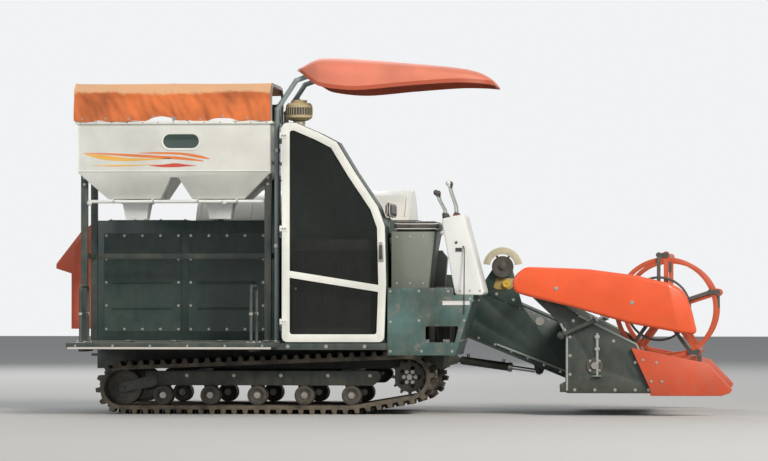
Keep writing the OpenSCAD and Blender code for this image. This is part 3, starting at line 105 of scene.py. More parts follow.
@dataclass(frozen=True)
class Finish:
    """One finish: its colour, its shine, how faded, dusty, chipped and muddy it is, and above what height it turns
    paler.
    """

    name: str
    slot: str
    colour: Colour
    roughness: float
    grain: Grain = Grain.PAINT
    metallic: float = 0.0
    coat: float = 0.0
    fade: float = 0.12
    bleach_above: float = 99.0
    dust: float = 0.25
    chips: float = 0.12
    mud_top: float = 0.55


DUST: Colour = (0.36, 0.30, 0.21)
MUD: Colour = (0.16, 0.125, 0.085)
# The paler colour that a finish turns towards above its given height.
PALE_TOP_COLOUR: Colour = (0.78, 0.47, 0.25)
BARE_STEEL: Colour = (0.20, 0.185, 0.17)

FRAME_GREEN = Finish("frame_green", "frame_green", (0.018, 0.034, 0.031), 0.5, dust=0.3, chips=0.25)
MACHINE_GREEN = Finish("machine_green", "machine_green", (0.016, 0.040, 0.036), 0.42, dust=0.16, chips=0.2)
HEADER_GREEN = Finish("header_green", "machine_green", (0.012, 0.026, 0.024), 0.45, dust=0.2, chips=0.3)
STEP_GREEN = Finish("step_green", "machine_green", (0.044, 0.100, 0.094), 0.5, dust=0.30, chips=0.9, fade=0.7)
CREAM = Finish("cream", "cream", (0.78, 0.785, 0.73), 0.38, coat=0.25, dust=0.16, chips=0.1)
IVORY = Finish("ivory", "cream", (0.74, 0.76, 0.74), 0.42, dust=0.14, chips=0.08)
ORANGE = Finish("orange", "orange", (0.76, 0.088, 0.014), 0.34, coat=0.35, dust=0.06, chips=0.05)
REEL_ORANGE = Finish("reel_orange", "orange", (0.52, 0.075, 0.022), 0.45, dust=0.15, chips=0.3)
DIVIDER_RED = Finish("divider_red", "orange", (0.55, 0.065, 0.018), 0.45, dust=0.2, chips=0.35)
HOOD_RED = Finish("hood_red", "orange", (0.44, 0.062, 0.022), 0.48, dust=0.18, chips=0.15)
CANOPY_ORANGE = Finish("canopy_orange", "canopy_orange", (0.66, 0.190, 0.115), 0.55, Grain.MOULDED, dust=0.1,
                       chips=0.0, fade=0.2)
RUBBER = Finish("track_rubber", "track_rubber", (0.018, 0.017, 0.016), 0.75, Grain.RUBBER, dust=0.75, chips=0.0,
                mud_top=0.42)
STEEL = Finish("worked_steel", "steel", (0.38, 0.37, 0.36), 0.38, Grain.BRUSHED, metallic=0.85, dust=0.3, chips=0.0)
ROD_CHROME = Finish("rod_chrome", "steel", (0.62, 0.62, 0.63), 0.16, Grain.BRUSHED, metallic=1.0, dust=0.08, chips=0.0)
ZINC = Finish("zinc_bolts", "steel", (0.42, 0.41, 0.38), 0.36, Grain.BRUSHED, metallic=0.8, dust=0.2, chips=0.0)
IRON = Finish("dark_iron", "dark_iron", (0.045, 0.045, 0.044), 0.58, Grain.CAST, metallic=0.3, dust=0.4, chips=0.1)
TINE_BLACK = Finish("tine_black", "dark_iron", (0.035, 0.037, 0.036), 0.45, dust=0.3, chips=0.25)
GREY = Finish("grey_paint", "grey", (0.24, 0.26, 0.25), 0.45, dust=0.3, chips=0.2)
# A grey for the leg and the levers, also used on the pale bars that paint the header's edge highlights.
LEG_GREY = Finish("leg_grey", "grey", (0.30, 0.36, 0.33), 0.4, dust=0.2, chips=0.35)
SEAT_GREY = Finish("seat_grey", "grey", (0.17, 0.20, 0.175), 0.5, dust=0.3, chips=0.1)
# A pale grey for the strip along the platform's edge: a painted highlight, with some dust and chips on it.
PAINTED_EDGE_HIGHLIGHT = Finish("painted_edge_highlight", "grey", (0.58, 0.54, 0.50), 0.45, dust=0.3, chips=0.3)
DECK_STEEL = Finish("deck_steel", "grey", (0.13, 0.135, 0.13), 0.5, Grain.BRUSHED, metallic=0.45, dust=0.6, chips=0.35)
POST_GREY = Finish("post_grey", "grey", (0.22, 0.27, 0.27), 0.4, dust=0.15, chips=0.1)
BEIGE = Finish("beige_plastic", "beige_plastic", (0.46, 0.37, 0.20), 0.42, Grain.MOULDED, dust=0.25, chips=0.0)
GUARD_BEIGE = Finish("guard_beige", "cream", (0.56, 0.52, 0.36), 0.42, dust=0.2, chips=0.2)
OCHRE = Finish("ochre_paint", "beige_plastic", (0.42, 0.30, 0.09), 0.5, dust=0.35, chips=0.3)
YELLOW = Finish("yellow_paint", "beige_plastic", (0.68, 0.46, 0.05), 0.4, dust=0.15, chips=0.2)
BLACK_PLASTIC = Finish("black_plastic", "mesh", (0.022, 0.022, 0.023), 0.45, Grain.MOULDED, dust=0.25, chips=0.0)
WHITE_PLASTIC = Finish("white_plastic", "cream", (0.66, 0.66, 0.64), 0.35, Grain.MOULDED, dust=0.1, chips=0.0)
RED_PLASTIC = Finish("red_plastic", "orange", (0.55, 0.03, 0.02), 0.35, Grain.MOULDED, dust=0.1, chips=0.0)
MESH_GREEN = Finish("screen_mesh", "mesh", (0.008, 0.012, 0.010), 0.75, Grain.MOULDED, dust=0.04, chips=0.0)
CORE_BLACK = Finish("radiator_core", "dark_iron", (0.014, 0.016, 0.015), 0.7, Grain.CAST, dust=0.12, chips=0.0)
WINDOW = Finish("tank_window", "mesh", (0.025, 0.055, 0.045), 0.12, Grain.MOULDED, coat=0.6, dust=0.1, chips=0.0)
STRIPE_ORANGE = Finish("stripe_orange", "orange", (0.72, 0.20, 0.05), 0.4, dust=0.12, chips=0.1)
STRIPE_YELLOW = Finish("stripe_yellow", "beige_plastic", (0.76, 0.42, 0.08), 0.4, dust=0.12, chips=0.1)
STRIPE_RED = Finish("stripe_red", "orange", (0.55, 0.07, 0.04), 0.4, dust=0.12, chips=0.1)
VINYL = Finish("seat_vinyl", "seat_vinyl", (0.020, 0.020, 0.021), 0.42, Grain.VINYL, dust=0.3, chips=0.0)
PIPING = Finish("seat_piping", "seat_vinyl", (0.55, 0.55, 0.52), 0.45, Grain.VINYL, dust=0.15, chips=0.0)
# A darker copy of the canopy's orange: painted shade for the canopy's rim band and its inside.
CANOPY_PAINTED_SHADE = Finish("canopy_under", "canopy_orange", (0.42, 0.075, 0.03), 0.5, Grain.MOULDED, dust=0.1, chips=0.0)
TARP = Finish("tarp_cloth", "tarp", (0.62, 0.150, 0.034), 0.78, Grain.CLOTH, dust=0.12, chips=0.0, fade=0.42,
              bleach_above=2.418)


class Net:
    """A shader node tree that short calls fill."""

    def __init__(self, tree: bpy.types.NodeTree) -> None:
        """Takes the tree to fill."""
        self.tree = tree

    def fill(self, node: bpy.types.Node, **sockets: object) -> bpy.types.Node:
        """Fills or links a node's inputs.

        Args:
            node: the node.
            sockets: input values or output sockets, by input name with _ for a space, or by i and a number.

        Returns:
            The node.
        """
        for key, value in sockets.items():
            socket = node.inputs[int(key[1:]) if key[1:].isdigit() else key.replace("_", " ")]
            if isinstance(value, Socket):
                self.tree.links.new(value, socket)
            else:
                socket.default_value = value
        return node

    def add(self, kind: str, settings: dict[str, object] | None = None, **sockets: object) -> bpy.types.Node:
        """Adds a node.

        Args:
            kind: the node's type without its ShaderNode prefix.
            settings: property values.
            sockets: its inputs, as for fill.

        Returns:
            The new node.
        """
        made = self.tree.nodes.new("ShaderNode" + kind)
        for key, value in (settings or {}).items():
            setattr(made, key, value)
        return self.fill(made, **sockets)

    def math(self, operation: str, a: Value, b: Value) -> Socket:
        """The result of a calculation with two numbers or sockets."""
        return self.add("Math", {"operation": operation}, i0=a, i1=b).outputs[0]

    def plus(self, a: Value, b: Value) -> Socket:
        """The sum."""
        return self.math("ADD", a, b)

    def minus(self, a: Value, b: Value) -> Socket:
        """The difference."""
        return self.math("SUBTRACT", a, b)

    def times(self, a: Value, b: Value) -> Socket:
        """The product."""
        return self.math("MULTIPLY", a, b)

    def noise(self, vector: Socket, scale: float, detail: float, roughness: float = 0.5) -> Socket:
        """A noise over the surface."""
        return self.add("TexNoise", Vector=vector, Scale=scale, Detail=detail, Roughness=roughness).outputs["Fac"]

    def span(self, value: Socket, low: Value, high: Value, to_low: Value = 0.0, to_high: Value = 1.0) -> Socket:
        """A value's place between two ends, taken to another span."""
        return self.add("MapRange", Value=value, From_Min=low, From_Max=high, To_Min=to_low, To_Max=to_high).outputs[0]

    def mix(self, share: Socket, first: Value, second: Value) -> Socket:
        """Two colours mixed."""
        return self.add("MixRGB", Fac=share, Color1=first, Color2=second).outputs[0]


class Shaders:
    """Builds the shared node groups once, and a material for each finish.

    grain_noises has the scale, detail, roughness and gain of each noise, and grain_depths the bumps' depths in metres.
    """

    grain_noises: ClassVar[dict[Grain, tuple[float, float, float, float]]] = {
        Grain.CAST: (180.0, 4.0, 0.7, 1.0), Grain.RUBBER: (22.0, 8.0, 0.75, 2.4), Grain.MOULDED: (320.0, 2.0, 0.5, 1.0),
    }
    grain_depths: ClassVar[dict[Grain, float]] = {
        Grain.CLOTH: 0.004, Grain.RUBBER: 0.004, Grain.CAST: 0.0015, Grain.PAINT: 0.0007, Grain.VINYL: 0.002,
        Grain.BRUSHED: 0.0006, Grain.MOULDED: 0.0006,
    }

    def __init__(self) -> None:
        """Makes the shared groups."""
        self.materials: dict[str, bpy.types.Material] = {}
        self.weather = self.weather_group()
        self.grains = {g: self.grain_group(g) for g in Grain}

    @staticmethod
    def group(name: str, inputs: dict[str, str], outputs: dict[str, str]) -> Net:
        """Starts a shader node group with named sockets.

        Args:
            name: the group's name.
            inputs: socket names and their socket types.
            outputs: socket names and their socket types.

        Returns:
            The group, with its input and output nodes in it.
        """
        tree = bpy.data.node_groups.new(name, "ShaderNodeTree")
        for direction, sockets in (("INPUT", inputs), ("OUTPUT", outputs)):
            for label, kind in sockets.items():
                tree.interface.new_socket(label, in_out=direction, socket_type="NodeSocket" + kind)
        tree.nodes.new("NodeGroupInput").name = "in"
        tree.nodes.new("NodeGroupOutput").name = "out"
        return Net(tree)

    def weather_group(self) -> bpy.types.NodeTree:
        """Fading, a paler colour above a given height, chips, dust and mud: a colour, a roughness and a bare-metal
        mask.

        Returns:
            The group.
        """
        net = self.group(
            "weathering",
            {"Vector": "Vector", "Colour": "Color", "Dust Colour": "Color", "Mud Colour": "Color", "Bare": "Color",
             "Roughness": "Float", "Fade": "Float", "Dust": "Float", "Chips": "Float", "Mud Top": "Float",
             "Bleach Above": "Float"},
            {"Colour": "Color", "Roughness": "Float", "Bare": "Float"},
        )
        src, out = net.tree.nodes["in"].outputs, net.tree.nodes["out"].inputs
        place = src["Vector"]
        broad = net.noise(place, 2.3, 3.0, 0.55)
        blotch = net.noise(place, 11.0, 6.0, 0.62)
        fine = net.noise(place, 95.0, 5.0, 0.7)
        fade = net.span(broad, 0.3, 0.7, -1.0, 1.0)
        value = net.plus(1.0, net.times(fade, src["Fade"]))
        paint = net.add("HueSaturation", Color=src["Colour"], Value=value).outputs[0]
        height = net.add("SeparateXYZ", Vector=place).outputs["Z"]
        ragged = net.plus(net.times(net.minus(blotch, 0.5), 0.07), net.times(net.minus(broad, 0.5), 0.08))
        pale_from = src["Bleach Above"]
        # Above the given height, along a ragged line, the colour turns paler.
        sun = net.span(net.plus(height, ragged), pale_from, net.plus(pale_from, 0.018), 0.0, 0.8)
        paint = net.mix(sun, paint, (*PALE_TOP_COLOUR, 1))
        chipped = net.plus(net.times(blotch, 0.62), net.times(fine, 0.38))
        edge = net.minus(0.73, net.times(src["Chips"], 0.17))
        chips = net.span(chipped, edge, net.plus(edge, 0.012))
        chips = net.times(chips, net.math("GREATER_THAN", src["Chips"], 0.001))
        worn = net.mix(chips, paint, src["Bare"])
        top = src["Mud Top"]
        low = net.span(net.plus(height, net.times(blotch, 0.25)), net.plus(top, 0.12), net.times(top, 0.35))
        mud = net.times(low, net.times(net.span(blotch, 0.36, 0.6), src["Dust"]))
        streaks = net.noise(net.add("Mapping", Vector=place, Scale=(5.0, 5.0, 2.2)).outputs[0], 2.0, 4.0, 0.6)
        film = net.span(net.plus(net.times(streaks, 0.6), net.times(blotch, 0.4)), 0.38, 0.68)
        film = net.times(film, net.times(src["Dust"], 0.6))
        muddy = net.mix(mud, net.mix(film, worn, src["Dust Colour"]), src["Mud Colour"])
        dull = net.math("MAXIMUM", film, mud)
        rough = net.span(dull, 0.0, 1.0, src["Roughness"], 0.85)
        rough = net.plus(rough, net.times(net.minus(fine, 0.5), 0.12))
        bare = net.times(chips, net.minus(1.0, dull))
        for label, result in (("Colour", muddy), ("Roughness", rough), ("Bare", bare)):
            net.tree.links.new(result, out[label])
        return net.tree

    def grain_group(self, grain: Grain) -> bpy.types.NodeTree:
        """The fine relief of one kind of surface, as a height.

        Args:
            grain: which surface.

        Returns:
            The group, with a Height output.
        """
        net = self.group("grain_" + grain.value, {"Vector": "Vector"}, {"Height": "Float"})
        place = net.tree.nodes["in"].outputs["Vector"]
        if grain in self.grain_noises:
            scale, detail, roughness, gain = self.grain_noises[grain]
            height = net.times(net.noise(place, scale, detail, roughness), gain)
        elif grain is Grain.BRUSHED:
            height = net.noise(net.add("Mapping", Vector=place, Scale=(1.0, 1.0, 30.0)).outputs[0], 30.0, 4.0)
        elif grain is Grain.CLOTH:
            warp, weft = (
                net.add("TexWave", {"wave_type": "BANDS", "bands_direction": axis}, Vector=place, Scale=62.0,
                        Distortion=0.5).outputs["Fac"] for axis in "XY"
            )
            height = net.plus(net.times(net.plus(warp, weft), 0.10), net.times(net.noise(place, 7.0, 5.0, 0.6), 2.2))
        elif grain is Grain.VINYL:
            cells = net.add("TexVoronoi", {"feature": "DISTANCE_TO_EDGE"}, Vector=place, Scale=260.0)
            height = cells.outputs["Distance"]
        else:
            height = net.plus(net.times(net.noise(place, 140.0, 2.0), 0.5), net.times(net.noise(place, 3.2, 2.0), 7.0))
        net.tree.links.new(height, net.tree.nodes["out"].inputs["Height"])
        return net.tree

    def material(self, finish: Finish) -> bpy.types.Material:
        """The material of a finish, made at its first use.

        Args:
            finish: the finish.

        Returns:
            The material.
        """
        if finish.name in self.materials:
            return self.materials[finish.name]
        made = bpy.data.materials.new(finish.name)
        made.use_nodes = True
        net = Net(made.node_tree)
        place = net.add("TexCoord").outputs["Object"]
        weather = net.add(
            "Group", {"node_tree": self.weather}, Vector=place, Colour=(*finish.colour, 1), Dust_Colour=(*DUST, 1),
            Mud_Colour=(*MUD, 1), Bare=(*BARE_STEEL, 1), Roughness=finish.roughness, Fade=finish.fade, Dust=finish.dust,
            Chips=finish.chips, Mud_Top=finish.mud_top, Bleach_Above=finish.bleach_above,
        ).outputs
        grain = net.add("Group", {"node_tree": self.grains[finish.grain]}, Vector=place)
        bump = net.add("Bump", Strength=0.35, Distance=self.grain_depths[finish.grain], Height=grain.outputs["Height"])
        net.fill(
            made.node_tree.nodes["Principled BSDF"], Base_Color=weather["Colour"], Roughness=weather["Roughness"],
            Metallic=weather["Bare"] if finish.chips and not finish.metallic else finish.metallic,
            Coat_Weight=finish.coat, Coat_Roughness=0.15, Sheen_Weight=0.25 if finish.grain is Grain.CLOTH else 0.0,
            Normal=bump.outputs["Normal"],
        )
        self.materials[finish.name] = made
        return made


SHADERS = Shaders()


def body_of(node: str) -> str:
    """The body that a CAD node rides on."""
    return frame["nodes"][node]["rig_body"]


def dress(finish: Finish, *nodes: str) -> None:
    """Gives carried-over CAD nodes a finish.

    Args:
        finish: the finish.
        nodes: the nodes' names.
    """
    for name in nodes:
        mesh = frame["nodes"][name].data
        mesh.materials.clear()
        mesh.materials.append(SHADERS.material(finish))


def linked(name: str, data: bpy.types.ID) -> bpy.types.Object:
    """Puts an object with this data in the scene."""
    made = bpy.data.objects.new(name, data)
    bpy.context.scene.collection.objects.link(made)
    return made


def steps(first: float, pitch: float, count: int) -> list[float]:
    """Evenly spaced numbers."""
    return [first + k * pitch for k in range(count)]


def rectangle(x: Flat, y: float, z: Flat) -> list[Point]:
    """The corners of an upright rectangle that faces sideways."""
    return [(x[0], y, z[0]), (x[1], y, z[0]), (x[1], y, z[1]), (x[0], y, z[1])]


def circle(centre: Spot, r: float, count: int, start: float = 45.0, level: bool = False) -> list[Vector]:
    """Evenly spread spots on a circle.

    Args:
        centre: its centre.
        r: its radius.
        count: how many spots.
        start: the first spot's angle in degrees.
        level: whether it lies level instead of facing sideways.

    Returns:
        The spots.
    """
    spots = []
    for k in range(count):
        a = math.radians(start) + math.tau * k / count
        out = (math.cos(a), math.sin(a), 0) if level else (math.cos(a), 0, math.sin(a))
        spots.append(Vector(centre) + r * Vector(out))
    return spots


def round_off(bm: BMesh, geom: Iterable[BMEdge | BMVert], width: float, segments: int = 2, **more: object) -> None:
    """Rounds edges or corners inwards.

    Args:
        bm: the mesh.
        geom: the edges or corners.
        width: the rounding's width.
        segments: its facets.
        more: the bevel operator's other settings.
    """
    bmesh.ops.bevel(bm, geom=list(geom), offset=width, segments=segments, profile=0.5, material=-1,
                    **{"affect": "EDGES", **more})


class Work:
    """A piece in the making: bars, blocks, bolts and panels are added to its mesh, and then it is shown."""

    washer_r: ClassVar[float] = 1.35
    washer_top: ClassVar[float] = 0.18
    head_foot: ClassVar[float] = 0.15
    head_top: ClassVar[float] = 0.85

    def __init__(self, bm: BMesh | None = None) -> None:
        """Starts from a mesh or from nothing."""
        self.bm = bm or bmesh.new()

    def paint(self, faces: Iterable[BMFace], mat: int) -> None:
        """Sets the material index of some faces."""
        for face in faces:
            face.material_index = mat

    def rod(self, p: Spot, q: Spot, r: float, segments: int = 12, r_end: float | None = None, mat: int = 0) -> None:
        """Adds a round bar or cone between two points.

        Args:
            p: the bar's start.
            q: the bar's end.
            r: its radius at the start.
            segments: its facets.
            r_end: its radius at the end, if it tapers.
            mat: its material index.
        """
        p, q = Vector(p), Vector(q)
        place = Matrix.Translation((p + q) / 2) @ (q - p).to_track_quat("Z", "Y").to_matrix().to_4x4()
        made = bmesh.ops.create_cone(self.bm, cap_ends=True, segments=segments, radius1=r,
                                     radius2=r if r_end is None else r_end, depth=(q - p).length, matrix=place)["verts"]
        self.paint({f for v in made for f in v.link_faces}, mat)

    def block(self, lo: Spot, hi: Spot, bevel: float = 0.0, mat: int = 0) -> None:
        """Adds a block between two corners, with rounded edges if asked.

        Args:
            lo: its lowest corner.
            hi: its highest corner.
            bevel: the width of its rounded edges.
            mat: its material index.
        """
        lo, hi = Vector(lo), Vector(hi)
        place = Matrix.Translation((lo + hi) / 2) @ Matrix.Diagonal((*(hi - lo), 1.0))
        made = bmesh.ops.create_cube(self.bm, size=1.0, matrix=place)["verts"]
        self.paint({f for v in made for f in v.link_faces}, mat)
        if bevel:
            round_off(self.bm, {e for v in made for e in v.link_edges}, bevel)

    def bolts(self, spots: Iterable[Spot], out: Spot, size: float) -> None:
        """Adds hexagon bolt heads on their washers.

        Args:
            spots: the middles of their seats.
            out: the direction that the heads stand out in.
            size: a head's radius.
        """
        out = Vector(out).normalized()
        for seat in map(Vector, spots):
            self.rod(seat - out * 0.001, seat + out * size * self.washer_top, size * self.washer_r, 14)
            self.rod(seat + out * size * self.head_foot, seat + out * size * self.head_top, size, 6)

    def outline(self, outline: Sequence[Point], depth: Spot, bevel: float = 0.0, mat: int = 0) -> list[BMFace]:
        """Adds a flat outline given a thickness, with its rims rounded if asked.

        Args:
            outline: the corners of the flat face.
            depth: the extrusion's vector.
            bevel: the width of the rounded rims.
            mat: its material index.

        Returns:
            The new faces before rounding.
        """
        base = self.bm.faces.new([self.bm.verts.new(p) for p in outline])
        grown = bmesh.ops.extrude_face_region(self.bm, geom=[base])["geom"]
        tops = [g for g in grown if isinstance(g, BMVert)]
        bmesh.ops.translate(self.bm, verts=tops, vec=Vector(depth))
        faces = list({f for v in tops for f in v.link_faces} | {base})
        self.paint(faces, mat)
        bmesh.ops.recalc_face_normals(self.bm, faces=faces)
        if bevel:
            rims = [e for e in {e for f in faces for e in f.edges} if e.calc_face_angle(0.0) > RIM_ANGLE]
            round_off(self.bm, rims, bevel)
        return faces

    def ring(self, p: Spot, q: Spot, r_in: float, r_out: float, segments: int = 20, mat: int = 0) -> None:
        """Adds a ring between two points of its axis, by spinning its section.

        Args:
            p: the axis at one side.
            q: the axis at the other side.
            r_in: its inner radius.
            r_out: its outer radius.
            segments: its facets.
            mat: its material index.
        """
        p, q = Vector(p), Vector(q)
        axis = (q - p).normalized()
        side = axis.orthogonal().normalized()
        corners = [self.bm.verts.new(c + side * r) for c, r in ((p, r_in), (p, r_out), (q, r_out), (q, r_in))]
        edges = [self.bm.edges.new(pair) for pair in zip(corners, corners[1:] + corners[:1])]
        known = set(self.bm.faces)
        bmesh.ops.spin(self.bm, geom=corners + edges, cent=p, axis=axis, angle=math.tau, steps=segments, use_merge=True)
        made = [f for f in self.bm.faces if f not in known]
        self.paint(made, mat)
        bmesh.ops.recalc_face_normals(self.bm, faces=made)

    def ball(self, centre: Spot, r: float, mat: int = 0, stretch: float = 1.0) -> None:
        """Adds a ball, stretched upwards."""
        place = Matrix.Translation(centre) @ Matrix.Diagonal((1, 1, stretch, 1))
        made = bmesh.ops.create_uvsphere(self.bm, u_segments=16, v_segments=10, radius=r, matrix=place)["verts"]
        self.paint({f for v in made for f in v.link_faces}, mat)

    def pipe(self, points: Sequence[Spot], r: float, segments: int = 10) -> None:
        """Adds a bent round bar: a disc extruded from point to point, turned with the path.

        Args:
            points: the path.
            r: the bar's radius.
            segments: its facets.
        """
        path = [Vector(p) for p in points]
        ways = [(b - a).normalized() for a, b in zip(path, path[1:])]
        way = ways[0]
        known = set(self.bm.faces)
        place = Matrix.Translation(path[0]) @ way.to_track_quat("Z", "Y").to_matrix().to_4x4()
        disc = bmesh.ops.create_circle(self.bm, cap_ends=True, segments=segments, radius=r, matrix=place)["verts"]
        tip = next(f for f in disc[0].link_faces)
        for i, point in enumerate(path[1:], 1):
            ahead = (ways[i - 1] + ways[i]).normalized() if i < len(ways) else ways[-1]
            grown = bmesh.ops.extrude_face_region(self.bm, geom=[tip])["geom"]
            if i > 1:
                bmesh.ops.delete(self.bm, geom=[tip], context="FACES_ONLY")
            tip = next(g for g in grown if isinstance(g, BMFace))
            turn = way.rotation_difference(ahead).to_matrix().to_4x4()
            move = Matrix.Translation(point) @ turn @ Matrix.Translation(-path[i - 1])
            bmesh.ops.transform(self.bm, matrix=move, verts=list(tip.verts))
            way = ahead
        bmesh.ops.recalc_face_normals(self.bm, faces=[f for f in self.bm.faces if f not in known])

    def panel(self, outline: Sequence[Point], out: Spot, lift: float, inset: float, sink: float,
              inner: int = 0) -> None:
        """Adds a raised panel whose middle is sunk again inside a border.

        Args:
            outline: the corners of the panel's seat.
            out: the unit direction that it faces.
            lift: how far the border stands out.
            inset: the border's width.
            sink: how far the middle is sunk.
            inner: the middle's material index.
        """
        way = Vector(out)
        top = max(self.outline(outline, way * lift), key=lambda f: f.calc_center_median().dot(way))
        bmesh.ops.inset_region(self.bm, faces=[top], thickness=inset, depth=-sink, use_even_offset=True)
        top.material_index = inner

    def show(self, name: str, body: str, *finishes: Finish, smooth: bool = True) -> bpy.types.Object:
        """Turns the mesh into a shown piece and frees it.

        Args:
            name: the piece's name.
            body: the body that the piece rides on.
            finishes: the finishes of the mesh's material indices.
            smooth: whether shallow edges are shaded smooth.

        Returns:
            The new object.
        """
        for edge in self.bm.edges:
            edge.smooth = smooth and edge.is_manifold and edge.calc_face_angle(math.pi) < SMOOTH_ANGLE
        for face in self.bm.faces:
            face.smooth = smooth
        mesh = bpy.data.meshes.new(name)
        self.bm.to_mesh(mesh)
        self.bm.free()
        for finish in finishes:
            mesh.materials.append(SHADERS.material(finish))
        piece = linked(name, mesh)
        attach(piece, body)
        return piece


class Assembly:
    """A sub-assembly: CAD shells with their sharp edges rounded, and the fittings on them.

    shells has the node, the finish and the rounding's width of each shell.
    """

    shells: ClassVar[tuple[tuple[str, Finish, float], ...]] = ()

    def soften(self, node: str, finish: Finish, width: float) -> None:
        """Replaces a CAD node by the same shape, with its loose triangles joined and its sharp edges rounded inwards.

        Args:
            node: the node's name.
            finish: its finish.
            width: the rounding's width.
        """
        bm = bmesh.new()
        bm.from_mesh(frame["nodes"][node].data)
        bmesh.ops.remove_doubles(bm, verts=bm.verts, dist=WELD)
        bmesh.ops.dissolve_limit(bm, angle_limit=FLAT_ANGLE, verts=bm.verts, edges=bm.edges,
                                 use_dissolve_boundaries=False)
        sharp = [e for e in bm.edges if e.is_manifold and e.calc_face_angle(0.0) > SHARP_ANGLE]
        round_off(bm, sharp, width, clamp_overlap=True)
        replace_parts(Work(bm).show(node + "_shell", body_of(node), finish), node)

    def pieces(self) -> None:
        """Makes the assembly's own pieces."""

    def build(self) -> None:
        """Makes the shells, then the other pieces."""
        for node, finish, width in self.shells:
            self.soften(node, finish, width)
        self.pieces()


@dataclass
class Stage:
    """The plain pale floor, the soft studio lamps and the camera at the photograph's viewing angle."""

    distance: float = 31.6
    azimuth: float = 5.0
    height: float = 0.9
    aim: Point = (0.018, -0.8, 1.386)
    lens: float = 197.5
    floor_half: float = 60.0
    floor_colour: Colour = (0.57, 0.57, 0.56)
    lit: Point = (0.0, 0.0, 1.1)
    lamps: tuple[tuple[str, Point, float, float, Colour, float], ...] = (
        ("key_lamp", (12.6, -16.2, 12.6), 7.2, 1390, (1.0, 0.94, 0.86), 100.0),
        ("fill_lamp", (-14.4, -14.4, 8.1), 10.8, 842, (0.92, 0.96, 1.0), 180.0),
        ("back_lamp", (-5.4, 16.2, 11.7), 10.8, 1300, (1.0, 1.0, 1.0), 180.0),
    )
    sky: Colour = (0.93, 0.96, 1.0)
    sky_strength: float = 0.36
    backdrop: Colour = (0.88, 0.89, 0.90)

    @staticmethod
    def aimed(name: str, data: bpy.types.ID, place: Vector, target: Vector) -> bpy.types.Object:
        """Puts a lamp or the camera in the scene, turned to its target."""
        made = linked(name, data)
        made.location = place
        made.rotation_mode = "QUATERNION"
        made.rotation_quaternion = (target - place).to_track_quat("-Z", "Y")
        return made

    def floor(self) -> None:
        """Adds the floor."""
        bm = bmesh.new()
        bmesh.ops.create_grid(bm, x_segments=1, y_segments=1, size=self.floor_half)
        mesh = bpy.data.meshes.new("floor")
        bm.to_mesh(mesh)
        bm.free()
        paint = bpy.data.materials.new("floor_paint")
        paint.use_nodes = True
        Net(paint.node_tree).fill(paint.node_tree.nodes["Principled BSDF"], Base_Color=(*self.floor_colour, 1),
                                  Roughness=0.9, Specular_IOR_Level=0.0)
        mesh.materials.append(paint)
        linked("floor", mesh)

    def world(self) -> None:
        """Lights from the sky, and shows the paler backdrop to the camera and in reflections."""
        world = bpy.data.worlds.new("studio")
        world.use_nodes = True
        net, nodes = Net(world.node_tree), world.node_tree.nodes
        light = net.fill(nodes["Background"], Color=(*self.sky, 1), Strength=self.sky_strength)
        shown = net.add("Background", Color=(*self.backdrop, 1), Strength=1.0)
        path = net.add("LightPath").outputs
        sees = path["Is Camera Ray"]
        for ray in ("Is Glossy Ray", "Is Transmission Ray"):
            sees = net.math("MAXIMUM", sees, path[ray])
        mix = net.add("MixShader", i0=sees, i1=light.outputs[0], i2=shown.outputs[0])
        net.fill(nodes["World Output"], Surface=mix.outputs[0])
        bpy.context.scene.world = world
        bpy.context.scene.view_settings.view_transform = "Standard"

    def build(self) -> None:
        """Makes the floor, the lamps, the world and the camera."""
        self.floor()
        for name, place, size, watts, colour, spread in self.lamps:
            data = bpy.data.lights.new(name, "AREA")
            data.size, data.energy, data.color, data.spread = size, watts, colour, math.radians(spread)
            self.aimed(name, data, Vector(place), Vector(self.lit))
        self.world()
        data = bpy.data.cameras.new("camera")
        data.lens, data.sensor_width, data.clip_end = self.lens, 36.0, 200.0
        turn = math.radians(self.azimuth)
        aim = Vector(self.aim)
        place = aim + self.distance * Vector((math.sin(turn), -math.cos(turn), 0))
        place.z = self.height
        bpy.context.scene.camera = self.aimed("camera", data, place, aim)


def loft_sheet(rows: Sequence[Sequence[Sequence[float]]]) -> BMesh:
    """A sheet through rows of points: the first row's edges are extruded to each next row.

    Args:
        rows: the rows, each with as many points as the first.

    Returns:
        The sheet's mesh.
    """
    bm = bmesh.new()
    ring = [bm.verts.new(p) for p in rows[0]]
    edges = [bm.edges.new(pair) for pair in zip(ring, ring[1:])]
    for row in rows[1:]:
        grown = bmesh.ops.extrude_edge_only(bm, edges=edges)["geom"]
        fresh = {g for g in grown if isinstance(g, BMVert)}
        follow = {v: next(e.other_vert(v) for e in v.link_edges if e.other_vert(v) in fresh) for v in ring}
        ring = [follow[v] for v in ring]
        for vert, point in zip(ring, row):
            vert.co = point
        edges = [bm.edges.get(pair) for pair in zip(ring, ring[1:])]
    bmesh.ops.recalc_face_normals(bm, faces=bm.faces)
    return bm


def smooth_rows(rows: Sequence[Sequence[float]], per: int = 5) -> list[list[float]]:
    """Rows of numbers with even steps between them along a smooth curve.

    Args:
        rows: the given rows.
        per: the steps between two given rows.

    Returns:
        The denser rows.
    """
    dense = []
    last = len(rows) - 1
    for i in range(last):
        a, b, c, d = rows[max(i - 1, 0)], rows[i], rows[i + 1], rows[min(i + 2, last)]
        for t in (k / per for k in range(per)):
            dense.append([
                0.5 * (2 * q + (r - p) * t + (2 * p - 5 * q + 4 * r - w) * t * t + (3 * q - p - 3 * r + w) * t ** 3)
                for p, q, r, w in zip(a, b, c, d)
            ])
    dense.append(list(rows[-1]))
    return dense


def solidify(piece: bpy.types.Object, thickness: float, inner_material: int = 0) -> None:
    """Gives a sheet its thickness, inwards.

    Args:
        piece: the sheet.
        thickness: how thick, in metres.
        inner_material: how far the inner side's material index is from the outer side's.
    """
    wall = piece.modifiers.new("wall", "SOLIDIFY")
    wall.thickness, wall.offset, wall.material_offset = thickness, -1.0, inner_material


